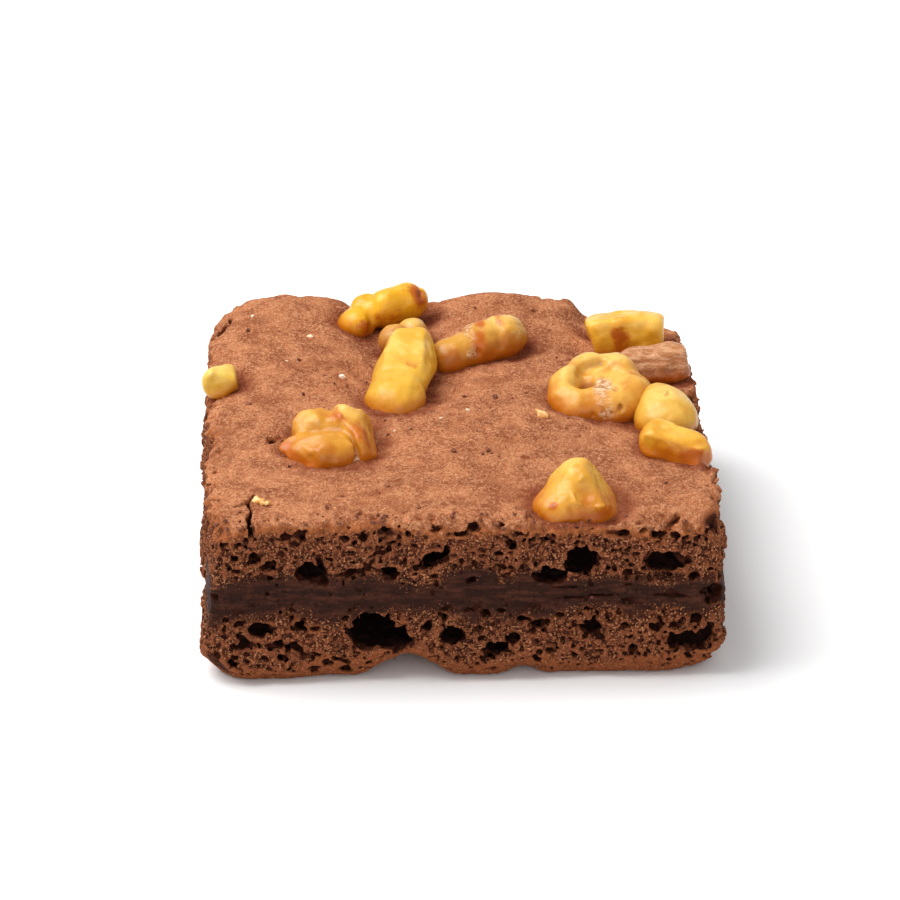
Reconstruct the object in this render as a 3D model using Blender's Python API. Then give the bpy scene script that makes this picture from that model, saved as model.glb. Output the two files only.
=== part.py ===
"""A square chocolate brownie with a dense fudge band through its middle and walnut pieces in its top.

The cake is modelled as it is baked and cut. One blank has the outer form: four knife-cut sides, a risen
top that has sunk round the nuts, and an underside with hollows where it came off the tin. Two wavy
levels slice the blank into lower crumb, fudge band and upper crumb, and each nut presses its own pocket
into the upper crumb. Lengths in this file are millimetres, turned into metres where a mesh is made.
The origin is under the middle of the cake, on the surface that it stands on; the front looks to -Y.
"""

import math

import bmesh
import bpy
import numpy as np
from mathutils import Euler, Matrix, Vector

MM = 0.001

# The driving sizes.
WIDTH = 65.8  # left to right
DEPTH = 65.0  # front to back
RIM_HEIGHT = 22.6  # the top's edge above the table
CROWN = 0.6  # how far the middle of the top stands above its edge
BAND_LOW = 10.3  # the fudge band's mean lower level
BAND_HIGH = 14.9  # and its mean upper level
GAP = 0.3  # clearance between pieces that touch

BACK_TAPER = 1.7  # how far the right side runs in towards the back
CORNER_RADIUS = {"front_left": 1.6, "front_right": 2.0, "back_left": 5.0, "back_right": 6.0}
CELLS = 23  # grid cells along each side of the blank
WALL_LEVELS = (0.0, 0.1, 0.24, 0.45, 0.68, 0.9, 1.0)  # heights of the wall's rings, 0 to 1
LEVEL_CELLS = 9  # grid cells of the wavy levels that slice the blank
NUT_VOXEL = 0.55  # how finely a nut is fused from its lobes
NUT_FACES = 270  # triangles of a finished nut

COLOURS = {
    "crumb": ((0.19, 0.066, 0.03), 0.92),
    "fudge": ((0.045, 0.016, 0.01), 0.7),
    "walnut": ((0.68, 0.36, 0.08), 0.42),
}


def material(name):
    """The plain finish of one kind of piece: its colour and roughness."""
    colour, roughness = COLOURS[name]
    made = bpy.data.materials.new(name)
    made.use_nodes = True
    shader = made.node_tree.nodes["Principled BSDF"]
    shader.inputs["Base Color"].default_value = (*colour, 1.0)
    shader.inputs["Roughness"].default_value = roughness
    shader.inputs["Metallic"].default_value = 0.0
    return made


def hill(x, y, centre, radius):
    """A smooth hill of height 1 on centre, whose radius is one number or one for each way."""
    rx, ry = (radius, radius) if np.isscalar(radius) else radius
    return np.exp(-(((x - centre[0]) / rx) ** 2) - ((y - centre[1]) / ry) ** 2)


def ramp(value, start, end):
    """0 before start, 1 after end, and smooth between them."""
    t = np.clip((value - start) / (end - start), 0.0, 1.0)
    return t * t * (3.0 - 2.0 * t)


# ---------------------------------------------------------------------------------------------------
# The cake's outer form.
# ---------------------------------------------------------------------------------------------------

# Mounds that the batter rose to, and dips where it sank: (centre, radius, height).
TOP_RELIEF = (
    ((-22.5, 29.0), (10.0, 12.0), 1.9),  # the left hump at the back
    ((7.0, 32.0), (8.5, 10.0), 1.9),  # the middle hump at the back
    ((3.0, -5.0), (13.0, 9.0), 1.2),  # the broad mound in the middle
    ((-8.0, 26.0), (5.0, 8.5), -2.5),  # the trough between the humps
    ((-6.0, 7.5), (5.2, 10.0), -2.7),  # and on under the long nut
    ((5.5, 17.5), (8.0, 4.4), -2.2),  # under the two-lobed nut
    ((24.0, 29.5), (8.0, 10.5), -3.0),  # the low back edge behind the block nut
    ((23.0, 18.0), (6.5, 5.0), -1.4),  # under the block nut
    ((23.0, 3.0), (9.0, 8.5), -1.9),  # under the curled nut and its neighbours
    ((29.0, -14.0), (6.0, 5.0), -1.1),  # under the nut on the right edge
    ((-16.5, -11.5), (7.5, 6.0), -1.5),  # under the left chunk
    ((-34.0, 34.0), (4.0, 7.5), -4.6),  # the slumped back left corner
    ((34.0, 34.0), (4.0, 9.5), -2.6),  # the slumped back right corner
    ((-33.0, -33.0), (5.0, 4.0), -0.9),  # the front left corner
    ((24.0, -34.0), (13.0, 3.4), -1.3),  # the crumbled front edge on the right
)

# Hollows in the underside: (centre, radius, height).
BASE_HOLLOWS = (
    ((-7.6, -33.0), (4.2, 9.0), 4.4),  # the arch in the front
    ((6.4, -33.5), (2.2, 5.0), 2.9),
    ((-35.0, -34.0), (4.0, 6.0), 4.4),
    ((34.0, -33.5), (5.0, 5.0), 4.6),
    ((-33.5, -3.0), (4.5, 5.0), 2.6),
    ((33.5, 2.0), (7.0, 4.0), 3.2),
    ((33.0, 19.0), (4.0, 3.0), 2.2),
    ((-33.5, 20.0), (5.0, 3.4), 2.4),
    ((-12.0, 33.5), (4.0, 6.0), 3.4),
    ((13.0, 34.0), (5.5, 5.0), 2.6),
    ((34.0, 34.0), (5.0, 5.0), 4.0),
    ((-34.0, 34.0), (5.5, 5.0), 4.2),
    ((14.0, -8.0), (5.0, 3.0), 1.5),
    ((-14.0, 9.0), (3.2, 6.0), 1.6),
)
HOLLOW_START = 0.55  # a hollow shallower than this has closed on the table, which keeps its edge clean


def top_height(x, y):
    """The cake's top above the table."""
    crown = CROWN * (1.0 - (2.0 * x / WIDTH) ** 4) * (1.0 - (2.0 * y / DEPTH) ** 4)
    relief = sum(h * hill(x, y, c, r) for c, r, h in TOP_RELIEF)
    swell = 0.16 * np.sin(0.31 * x + 0.9) * np.sin(0.27 * y - 0.4)
    return RIM_HEIGHT + crown + relief + swell


def base_height(x, y):
    """The cake's underside above the table: flat where it stands, arched in the hollows."""
    arch = sum(h * hill(x, y, c, r) for c, r, h in BASE_HOLLOWS)
    return np.maximum(0.0, arch - HOLLOW_START)


def band_level(x, y, mean, lift):
    """A wavy level through the cake. Lift is how far it rises at the middle of the front."""
    wave = 0.45 * np.sin(0.16 * x + 0.1 * y + 0.8) + 0.35 * np.sin(0.24 * y - 0.13 * x)
    rise = lift * hill(x, y, (1.5, -30.0), (9.0, 16.0))
    fall = -0.45 * lift * ramp(x, 6.0, 20.0)
    return mean + wave + rise + fall


def low_level(x, y):
    """The top of the lower crumb."""
    return band_level(x, y, BAND_LOW, 0.3)


def high_level(x, y):
    """The top of the fudge band."""
    return band_level(x, y, BAND_HIGH, 2.4)


def corner_radius(u, v):
    """The plan radius of the corner that the point (u, v) is nearest, u and v from -1 to 1."""
    side = "right" if u > 0 else "left"
    end = "back" if v > 0 else "front"
    return CORNER_RADIUS[f"{end}_{side}"]


def plan_point(u, v):
    """The plan position of (u, v), both from -1 to 1: a square whose corners are pressed round."""
    x, y = u * WIDTH / 2, v * DEPTH / 2
    radius = corner_radius(u, v)
    a = (abs(x) - (WIDTH / 2 - radius)) / radius
    b = (abs(y) - (DEPTH / 2 - radius)) / radius
    if a > 0 and b > 0:
        x = math.copysign(WIDTH / 2 - radius + radius * a * math.sqrt(1 - b * b / 2), x)
        y = math.copysign(DEPTH / 2 - radius + radius * b * math.sqrt(1 - a * a / 2), y)
    return x - BACK_TAPER * (u + 1) / 2 * (v + 1) / 2, y


def wall_offset(x, y, level):
    """How far a wall stands outside the plan at this level, 0 at its foot and 1 at its top."""
    along = 0.19 * x - 0.23 * y
    wave = 0.26 * math.sin(along + 4.0 * level) + 0.18 * math.sin(2.3 * along - 5.0 * level + 1.0)
    lip = (0.75 - 0.6 * x / WIDTH) * math.exp(-(((level - 0.17) / 0.13) ** 2))
    undercut = -1.1 * math.exp(-((level / 0.09) ** 2))
    round_top = -0.5 * ramp(level, 0.86, 1.0)
    return wave + lip + undercut + round_top - 0.35


def blank_mesh():
    """The whole cake's closed outer form, before it is sliced and the nuts are pressed in."""
    bm = bmesh.new()
    steps = [2.0 * i / CELLS - 1.0 for i in range(CELLS + 1)]

    def grid(level):
        """The wall's ring and the cap inside it, for level 0 or 1."""
        surface = top_height if level else base_height
        made = {}
        for i, u in enumerate(steps):
            for j, v in enumerate(steps):
                x, y = plan_point(u, v)
                edge = max(abs(u), abs(v)) == 1.0
                x, y = push_out(x, y, u, v, level) if edge else (x, y)
                made[i, j] = bm.verts.new((x, y, float(surface(x, y))))
        return made

    def push_out(x, y, u, v, level):
        """The plan point moved out along the wall's normal."""
        radius = corner_radius(u, v)
        out = Vector((x - math.copysign(max(0, min(abs(x), WIDTH / 2 - radius)), x),
                      y - math.copysign(max(0, min(abs(y), DEPTH / 2 - radius)), y)))
        out = out.normalized() * wall_offset(x, y, level)
        return x + out.x, y + out.y

    bottom, top = grid(0.0), grid(1.0)
    for i in range(CELLS):
        for j in range(CELLS):
            corners = ((i, j), (i + 1, j), (i + 1, j + 1), (i, j + 1))
            bm.faces.new([top[c] for c in corners])
            bm.faces.new([bottom[c] for c in reversed(corners)])

    n = CELLS
    loop = [(i, 0) for i in range(n)] + [(n, j) for j in range(n)]
    loop += [(n - i, n) for i in range(n)] + [(0, n - j) for j in range(n)]
    below = [bottom[c] for c in loop]
    for level in WALL_LEVELS[1:]:
        if level == 1.0:
            ring = [top[c] for c in loop]
        else:
            ring = []
            for i, j in loop:
                u, v = steps[i], steps[j]
                x, y = push_out(*plan_point(u, v), u, v, level)
                foot, head = bottom[i, j].co.z, top[i, j].co.z
                ring.append(bm.verts.new((x, y, foot + level * (head - foot))))
        for k in range(len(loop)):
            after = (k + 1) % len(loop)
            bm.faces.new((below[k], below[after], ring[after], ring[k]))
        below = ring
    return finished_mesh(bm, "cake_blank")


def finished_mesh(bm, name):
    """The bmesh as a mesh in metres with its faces pointing out."""
    bmesh.ops.recalc_face_normals(bm, faces=bm.faces)
    bmesh.ops.scale(bm, vec=(MM, MM, MM), verts=bm.verts)
    mesh = bpy.data.meshes.new(name)
    bm.to_mesh(mesh)
    bm.free()
    return mesh


def add_object(name, mesh, helper=False):
    """An object for a mesh. A helper only shapes other pieces and isn't a piece itself."""
    made = bpy.data.objects.new(name, mesh)
    bpy.context.scene.collection.objects.link(made)
    if helper:
        made.hide_render = True
        made.display_type = "WIRE"
    return made


def slab(name, low, high):
    """A closed helper slab, wider than the cake, between two levels that are functions of x and y."""
    bm = bmesh.new()
    reach = 1.2 * WIDTH / 2
    steps = [reach * (2.0 * i / LEVEL_CELLS - 1.0) for i in range(LEVEL_CELLS + 1)]
    sheets = []
    for level in (low, high):
        sheets.append([[bm.verts.new((x, y, float(level(x, y)))) for y in steps] for x in steps])
    lower, upper = sheets
    n = LEVEL_CELLS
    for i in range(n):
        for j in range(n):
            bm.faces.new((upper[i][j], upper[i + 1][j], upper[i + 1][j + 1], upper[i][j + 1]))
            bm.faces.new((lower[i][j], lower[i][j + 1], lower[i + 1][j + 1], lower[i + 1][j]))
    loop = [(i, 0) for i in range(n)] + [(n, j) for j in range(n)]
    loop += [(n - i, n) for i in range(n)] + [(0, n - j) for j in range(n)]
    for k, (i, j) in enumerate(loop):
        a, b = loop[(k + 1) % len(loop)]
        bm.faces.new((lower[i][j], lower[a][b], upper[a][b], upper[i][j]))
    return add_object(name, finished_mesh(bm, name), helper=True)


def boolean(obj, operation, other):
    """A live Boolean modifier on obj with another object or a collection."""
    modifier = obj.modifiers.new(operation.lower(), "BOOLEAN")
    modifier.operation = operation
    modifier.solver = "EXACT"
    if isinstance(other, bpy.types.Collection):
        modifier.operand_type = "COLLECTION"
        modifier.collection = other
    else:
        modifier.object = other


def layer(name, blank, slab_object, finish):
    """One layer of the cake: what the blank and a slab share."""
    made = add_object(name, blank.copy())
    made.data.materials.append(finish)
    boolean(made, "INTERSECT", slab_object)
    return made


# ---------------------------------------------------------------------------------------------------
# The walnut pieces.
# ---------------------------------------------------------------------------------------------------

# A piece is fused from round lobes in its own frame, long way along X: (centre, radii). Cuts are the
# flat faces that it broke along: (a point on the face, its outward normal). Dents are pressed in by a
# ball: (centre, radius, depth).
WALNUTS = {
    "walnut_back": {
        "place": (-8.7, 26.0, 23.7), "turn": 20, "tilt": -8,
        "lobes": (((-4.3, 0.0, -0.3), (2.3, 2.5, 2.4)), ((-1.0, 1.0, 0.4), (2.8, 2.6, 2.7)),
                  ((1.8, -0.5, 0.4), (3.4, 3.1, 3.1)), ((4.3, -0.4, -0.1), (2.5, 2.8, 2.7))),
    },
    "walnut_under": {
        "place": (-6.2, 19.4, 23.0), "turn": 35, "tilt": 0,
        "lobes": (((-1.2, 0.0, 0.0), (2.4, 2.4, 2.3)), ((1.6, 0.2, 0.2), (2.3, 2.1, 2.0))),
    },
    "walnut_long": {
        "place": (-6.4, 7.3, 23.9), "turn": 80, "tilt": -13,
        "lobes": (((-6.9, 0.3, -0.6), (3.8, 4.6, 3.4)), ((-1.6, 0.1, -0.1), (5.4, 3.8, 3.0)),
                  ((3.4, -0.4, 0.1), (3.8, 3.8, 2.8)), ((6.4, -0.1, 0.0), (2.6, 2.9, 2.3))),
        "cuts": (((-10.1, 0.0, 0.0), (-1.0, -0.1, 0.35)), ((0.0, 0.0, 2.7), (0.0, 0.2, 1.0))),
    },
    "walnut_two_lobed": {
        "place": (3.8, 16.2, 23.2), "turn": 24, "tilt": -6,
        "lobes": (((-4.4, 0.0, -0.3), (2.9, 2.8, 2.7)), ((-1.0, 0.0, 0.2), (3.2, 2.8, 2.9)),
                  ((3.5, 0.0, 0.3), (3.6, 3.1, 3.1))),
    },
    "walnut_chunk": {
        "place": (-16.0, -10.6, 23.0), "turn": 8, "tilt": 0,
        "lobes": (((-4.1, -1.6, -0.4), (3.0, 3.2, 2.8)), ((0.6, -2.8, -0.4), (4.3, 3.4, 3.2)),
                  ((3.0, 1.7, 0.8), (3.8, 3.8, 3.6)), ((-1.8, 2.9, 0.9), (3.4, 3.2, 3.2))),
        "cuts": (((-5.6, -1.5, 0.0), (-1.0, -0.5, 0.3)), ((1.0, 4.6, 0.0), (0.2, 1.0, 0.45)),
                 ((5.9, 0.5, 0.0), (1.0, 0.0, 0.35))),
        "dents": (((-2.6, 0.6, 3.4), 1.7, 1.1), ((1.2, -0.6, 3.8), 1.4, 0.8)),
    },
    "walnut_block": {
        "place": (23.3, 20.2, 22.6), "turn": 2, "tilt": 0,
        "lobes": (((-2.8, 0.0, 0.0), (3.9, 3.4, 3.7)), ((2.6, 0.1, 0.0), (3.9, 3.4, 3.7))),
        "cuts": (((-5.2, 0.0, 0.8), (-1.0, -0.1, -0.3)), ((5.3, 0.0, 0.0), (1.0, -0.1, -0.06)),
                 ((0.0, 0.0, 3.1), (0.0, 0.3, 1.0)), ((0.0, -2.7, 0.0), (0.0, -1.0, 0.1))),
        "dents": (((0.6, -3.4, -0.8), 1.5, 0.7),),
    },
    "walnut_curl": {
        "place": (18.8, 1.2, 23.2), "turn": 14, "tilt": 0,
        "lobes": (((-4.7, -0.8, 0.0), (2.3, 2.9, 2.6)), ((-2.9, 2.8, 0.3), (2.7, 2.6, 2.8)),
                  ((0.8, 4.4, 0.8), (2.9, 2.7, 3.0)), ((3.9, 2.2, 0.8), (2.7, 3.2, 3.1)),
                  ((3.7, -2.2, 0.3), (3.0, 3.4, 3.1)), ((0.2, -4.2, -0.1), (3.4, 2.8, 2.8)),
                  ((0.0, 0.0, -1.2), (4.2, 4.2, 2.6))),
        "dents": (((-1.0, 0.2, 2.0), 1.8, 1.0),),
    },
    "walnut_brown": {
        "place": (26.4, 10.3, 23.1), "turn": 8, "tilt": -4,
        "lobes": (((-2.8, 0.0, 0.2), (2.9, 2.6, 2.6)), ((1.0, 0.0, 0.0), (3.7, 2.7, 2.8)),
                  ((3.2, -0.4, -0.2), (2.6, 3.0, 2.7))),
        "cuts": (((4.7, 0.0, 0.0), (1.0, 0.1, 0.1)), ((0.0, 1.8, 1.8), (0.0, 1.0, 0.8))),
    },
    "walnut_smooth": {
        "place": (26.9, -3.9, 22.8), "turn": 96, "tilt": -6,
        "lobes": (((-1.7, 0.0, 0.0), (3.3, 4.2, 3.1)), ((1.9, 0.3, 0.2), (3.2, 3.2, 2.8))),
        "dents": (((0.0, -0.3, 3.4), 0.8, 0.6),),
    },
    "walnut_edge": {
        "place": (28.2, -13.6, 22.6), "turn": -24, "tilt": 10,
        "lobes": (((-2.5, 0.3, 0.1), (2.7, 2.8, 2.6)), ((0.8, 0.5, 0.3), (2.9, 2.6, 2.5)),
                  ((2.8, -0.4, -0.2), (2.0, 2.5, 2.5))),
        "cuts": (((0.0, -2.3, 0.0), (0.1, -1.0, 0.25)),),
    },
    "walnut_peak": {
        "place": (14.2, -26.8, 22.8), "turn": -4, "tilt": 0,
        "lobes": (((-1.6, -0.8, -0.4), (4.5, 4.1, 3.2)), ((2.4, -0.2, -0.3), (3.6, 3.6, 3.1)),
                  ((0.3, 1.2, 2.4), (2.3, 2.0, 2.8))),
        "cuts": (((-2.4, 0.0, 2.4), (-0.75, 0.0, 1.0)), ((2.6, 0.0, 2.5), (0.9, -0.1, 1.0)),
                 ((0.0, -2.2, 1.9), (0.1, -1.0, 1.0)), ((0.0, 3.4, 0.0), (0.0, 1.0, 0.1))),
    },
    "walnut_crumb": {
        "place": (-29.9, 7.0, 22.9), "turn": 20, "tilt": 0,
        "lobes": (((-0.8, 0.0, 0.0), (1.9, 2.2, 1.9)), ((1.1, 0.3, 0.2), (1.6, 1.8, 1.7))),
        "cuts": (((0.0, 0.0, 1.5), (0.3, -0.2, 1.0)),),
    },
}
SMALL_NUTS = {"walnut_crumb": 0.5, "walnut_under": 0.75}  # their share of NUT_FACES


def fused_lobes(lobes):
    """One closed skin round all the lobes, smoothed where they meet, as a bmesh in millimetres."""
    bm = bmesh.new()
    for centre, radii in lobes:
        place = Matrix.Translation(centre) @ Matrix.Diagonal((*radii, 1.0))
        bmesh.ops.create_icosphere(bm, subdivisions=3, radius=1.0, matrix=place)
    mesh = bpy.data.meshes.new("lobes")
    bm.to_mesh(mesh)
    bm.free()
    work = add_object("lobes", mesh)
    remesh = work.modifiers.new("fuse", "REMESH")
    remesh.mode = "VOXEL"
    remesh.voxel_size = NUT_VOXEL
    smooth = work.modifiers.new("blend", "SMOOTH")
    smooth.factor = 0.5
    smooth.iterations = 5
    made = bmesh.new()
    made.from_mesh(evaluated_mesh(work))
    bpy.data.objects.remove(work)
    return made


def evaluated_mesh(obj):
    """A copy of the object's mesh with its modifiers applied."""
    bpy.context.view_layer.update()
    graph = bpy.context.evaluated_depsgraph_get()
    return bpy.data.meshes.new_from_object(obj.evaluated_get(graph))


def break_along(bm, cuts):
    """Cuts the piece flat along each break and closes the face that is left."""
    for point, normal in cuts:
        everything = bm.verts[:] + bm.edges[:] + bm.faces[:]
        cut = bmesh.ops.bisect_plane(bm, geom=everything, plane_co=point, plane_no=normal,
                                     clear_outer=True, dist=0.01)
        rim = [e for e in cut["geom_cut"] if isinstance(e, bmesh.types.BMEdge) and e.is_boundary]
        bmesh.ops.holes_fill(bm, edges=rim)
        bmesh.ops.triangulate(bm, faces=[f for f in bm.faces if len(f.verts) > 4])


def press_dents(bm, dents):
    """Presses a ball of each dent's radius into the piece, with soft sides."""
    for centre, radius, depth in dents:
        for vert in bm.verts:
            away = vert.co - Vector(centre)
            strength = math.exp(-((away.length / radius) ** 2))
            vert.co -= vert.normal * depth * strength


def walnut(name, spec, finish):
    """One walnut piece at its place in the top, as a finished closed mesh of few triangles."""
    bm = fused_lobes(spec["lobes"])
    bm.normal_update()
    press_dents(bm, spec.get("dents", ()))
    break_along(bm, spec.get("cuts", ()))
    turn = Euler((0.0, math.radians(spec["tilt"]), math.radians(spec["turn"])), "XYZ")
    bmesh.ops.transform(bm, matrix=Matrix.Translation(spec["place"]) @ turn.to_matrix().to_4x4(),
                        verts=bm.verts)
    made = add_object(name, finished_mesh(bm, name))
    triangles = sum(len(p.vertices) - 2 for p in made.data.polygons)
    fewer = made.modifiers.new("fewer_faces", "DECIMATE")
    fewer.ratio = NUT_FACES * SMALL_NUTS.get(name, 1.0) / triangles
    made.data = evaluated_mesh(made)
    made.modifiers.clear()
    made.data.materials.clear()
    made.data.materials.append(finish)
    made.data.shade_smooth()
    return made


def pocket(nut):
    """A helper of the nut's shape, larger all round by the gap."""
    mesh = nut.data.copy()
    mesh.materials.clear()
    bm = bmesh.new()
    bm.from_mesh(mesh)
    bm.normal_update()
    for vert, out in [(v, v.normal.copy()) for v in bm.verts]:
        vert.co += out * vert.calc_shell_factor() * GAP * MM
    bm.to_mesh(mesh)
    bm.free()
    return add_object(f"pocket_{nut.name}", mesh, helper=True)


# Nuts that lie against each other: the first gives way to the second.
LEANING = (
    ("walnut_under", "walnut_long"),
    ("walnut_under", "walnut_back"),
    ("walnut_two_lobed", "walnut_long"),
    ("walnut_chunk", "walnut_long"),
    ("walnut_brown", "walnut_curl"),
    ("walnut_brown", "walnut_block"),
    ("walnut_block", "walnut_curl"),
    ("walnut_smooth", "walnut_curl"),
    ("walnut_smooth", "walnut_edge"),
    ("walnut_brown", "walnut_smooth"),
)


def centre_on_origin(pieces):
    """Parents every piece to one empty and moves that so the cake's box is centred over the origin."""
    bpy.context.view_layer.update()
    graph = bpy.context.evaluated_depsgraph_get()
    corners = [Vector(c) for p in pieces for c in p.evaluated_get(graph).bound_box]
    low = [min(c[i] for c in corners) for i in range(3)]
    high = [max(c[i] for c in corners) for i in range(3)]
    table = bpy.data.objects.new("table_centre", None)
    bpy.context.scene.collection.objects.link(table)
    table.location = (-(low[0] + high[0]) / 2, -(low[1] + high[1]) / 2, -low[2])
    for obj in bpy.data.objects:
        if obj.type == "MESH":
            obj.parent = table


def main():
    for obj in list(bpy.data.objects):
        bpy.data.objects.remove(obj)
    crumb, fudge, nut_finish = material("crumb"), material("fudge"), material("walnut")

    blank = blank_mesh()
    half = GAP / 2
    under = slab("slice_lower", lambda x, y: -5.0, lambda x, y: low_level(x, y) - half)
    middle = slab("slice_band", lambda x, y: low_level(x, y) + half, lambda x, y: high_level(x, y) - half)
    above = slab("slice_upper", lambda x, y: high_level(x, y) + half, lambda x, y: 40.0)
    lower = layer("crumb_lower", blank, under, crumb)
    band = layer("fudge_band", blank, middle, fudge)
    upper = layer("crumb_upper", blank, above, crumb)

    nuts = {name: walnut(name, spec, nut_finish) for name, spec in WALNUTS.items()}
    pockets = bpy.data.collections.new("pockets")
    bpy.context.scene.collection.children.link(pockets)
    helpers = {name: pocket(nut) for name, nut in nuts.items()}
    for helper in helpers.values():
        pockets.objects.link(helper)
        bpy.context.scene.collection.objects.unlink(helper)
    for giving_way, firm in LEANING:
        boolean(nuts[giving_way], "DIFFERENCE", helpers[firm])
    boolean(upper, "DIFFERENCE", pockets)
    centre_on_origin([lower, band, upper, *nuts.values()])


main()
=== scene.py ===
# %% [markdown]
# # A square of chocolate brownie with walnuts
# The real object is one cut square of cake. A thin matte crust covers its top, four knife-cut sides show
# an airy crumb full of bubbles, a dense band of fudge runs through its middle, and walnut pieces are baked
# into the top. Blender could fake the bubbles with a bump texture, but they have real depth, with dark
# mouths and thin walls between them. So here the cake is carved as a solid out of a block of small cells,
# and textures add only the grain that is finer than a cell.

import math

import bmesh
import bpy
import numpy as np
from mathutils import Matrix, Vector, kdtree
from mathutils.bvhtree import BVHTree


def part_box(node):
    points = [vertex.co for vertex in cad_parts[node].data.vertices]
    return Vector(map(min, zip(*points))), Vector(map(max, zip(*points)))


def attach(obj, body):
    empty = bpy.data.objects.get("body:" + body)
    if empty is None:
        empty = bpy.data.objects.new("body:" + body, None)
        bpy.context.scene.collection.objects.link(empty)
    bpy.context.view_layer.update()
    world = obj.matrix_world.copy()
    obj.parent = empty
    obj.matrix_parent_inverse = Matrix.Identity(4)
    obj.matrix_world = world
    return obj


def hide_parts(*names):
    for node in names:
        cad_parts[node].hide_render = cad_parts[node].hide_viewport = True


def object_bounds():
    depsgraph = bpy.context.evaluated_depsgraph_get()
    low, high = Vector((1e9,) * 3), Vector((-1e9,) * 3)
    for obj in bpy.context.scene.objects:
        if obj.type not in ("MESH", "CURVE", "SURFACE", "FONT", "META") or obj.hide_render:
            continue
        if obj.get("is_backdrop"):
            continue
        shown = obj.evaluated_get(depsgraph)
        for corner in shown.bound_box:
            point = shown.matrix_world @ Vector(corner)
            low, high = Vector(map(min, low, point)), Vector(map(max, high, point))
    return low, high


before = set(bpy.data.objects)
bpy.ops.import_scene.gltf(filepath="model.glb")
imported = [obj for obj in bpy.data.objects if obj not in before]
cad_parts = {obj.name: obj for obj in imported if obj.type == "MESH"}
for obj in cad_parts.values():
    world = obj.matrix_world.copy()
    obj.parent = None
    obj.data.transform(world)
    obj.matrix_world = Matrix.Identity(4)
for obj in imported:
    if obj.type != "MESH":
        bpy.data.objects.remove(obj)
cad_low, cad_high = (np.array(corner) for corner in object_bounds())

MM = 0.001  # this script thinks in millimetres and turns them into metres where a mesh is made
LAYERS = ("crumb_lower", "fudge_band", "crumb_upper")
WALNUTS = sorted(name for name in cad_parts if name.startswith("walnut"))


def box_of(names):
    """The lowest and highest corner of some CAD nodes together, in millimetres."""
    corners = [np.array(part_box(name)) / MM for name in names]
    return np.min([c[0] for c in corners], axis=0), np.max([c[1] for c in corners], axis=0)


cake_low, cake_high = box_of(LAYERS)
print("cake", np.round(cake_high - cake_low, 1), "mm,", len(WALNUTS), "walnut pieces")

# %% [markdown]
# ## Measuring the baked form
# The cake's outer form is already settled in the frame: a crust that rose in mounds and sank round the
# nuts, sides that lean and wave a little, and an underside that bridges over hollows. Rays measure it.
# Rays from above and below give a height for each place in plan, and rays from all round towards the
# middle give the walls. Measuring keeps every later step in place even if the frame changes a little.

# %% Tools that measure the frame with rays
def tree_of(names):
    """A search tree over some CAD nodes, in millimetres, that rays can be cast against."""
    points, faces = [], []
    for name in names:
        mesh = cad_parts[name].data
        start = len(points)
        points += [v.co / MM for v in mesh.vertices]
        faces += [[start + i for i in p.vertices] for p in mesh.polygons]
    return BVHTree.FromPolygons(points, faces)


PLAN_STEP = 0.7  # spacing of the height maps
plan_x = np.arange(cake_low[0] - 1.5, cake_high[0] + 1.5, PLAN_STEP)
plan_y = np.arange(cake_low[1] - 1.5, cake_high[1] + 1.5, PLAN_STEP)


def height_map(names, down=True):
    """The height where a ray straight down, or straight up, first meets the nodes: nan where it misses."""
    tree = tree_of(names)
    start, way = (100.0, Vector((0, 0, -1))) if down else (-100.0, Vector((0, 0, 1)))
    heights = np.full((len(plan_x), len(plan_y)), np.nan)
    for i, x in enumerate(plan_x):
        for j, y in enumerate(plan_y):
            hit = tree.ray_cast(Vector((x, y, start)), way)[0]
            if hit:
                heights[i, j] = hit.z
    return heights


def neighbours(values):
    """The mean of the four cells beside each cell of a map."""
    wide = np.pad(values, 1, mode="edge")
    return (wide[:-2, 1:-1] + wide[2:, 1:-1] + wide[1:-1, :-2] + wide[1:-1, 2:]) / 4


def filled(values, rounds=400):
    """The map with its unknown cells filled smoothly from the known ones."""
    known = ~np.isnan(values)
    full = np.where(known, values, np.nanmean(values))
    for _ in range(rounds):
        full = np.where(known, values, neighbours(full))
    return full


def softened(values, rounds):
    """The map with its facets smoothed away."""
    for _ in range(rounds):
        values = (values + neighbours(values)) / 2
    return values


# %% Height maps of the crust, the underside and the two levels of the fudge band
nut_cover = ~np.isnan(height_map(WALNUTS))
for _ in range(2):  # the pocket is a little wider than its nut
    nut_cover = nut_cover | (neighbours(nut_cover.astype(float)) > 0)
crust = height_map(["crumb_upper"])
crust[nut_cover | (crust < cake_high[2] - 7)] = np.nan  # a ray down a wall isn't a height of the crust
crust = softened(filled(crust), 3)
underside = softened(filled(height_map(["crumb_lower"], down=False)), 2)
band_low = softened(filled(height_map(["crumb_lower"])), 4)
band_high = softened(filled(height_map(["fudge_band"])), 4)
print("crust", crust.min().round(1), "to", crust.max().round(1), "mm high")

# %% [markdown]
# ## Small forms of the crust
# Where the batter split from the tin, the back of the middle mound ends in a low step. Next to each nut
# the crust has shrunk and dips. Both are added to the crust's height map, because they are too small for
# the frame. A search tree over the nuts' corners tells how near the closest nut is.

# %% Add the step at the back and the dips round the nuts
def ease(values, start, end):
    """0 before start, 1 after end, and a smooth rise between them."""
    t = np.clip((values - start) / (end - start), 0.0, 1.0)
    return t * t * (3.0 - 2.0 * t)


grid_x, grid_y = np.meshgrid(plan_x, plan_y, indexing="ij")
half_width, half_depth = cake_high[0], cake_high[1]
STEP_AT = 0.52 * half_width  # where the middle mound ends
from_step = grid_x - STEP_AT - 0.5 * np.sin(0.9 * grid_y)
step = 0.8 * np.tanh(-from_step / 0.6) * np.exp(-((from_step / 4.5) ** 2))
crust += step * ease(grid_y, 0.72 * half_depth, 0.84 * half_depth)

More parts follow.
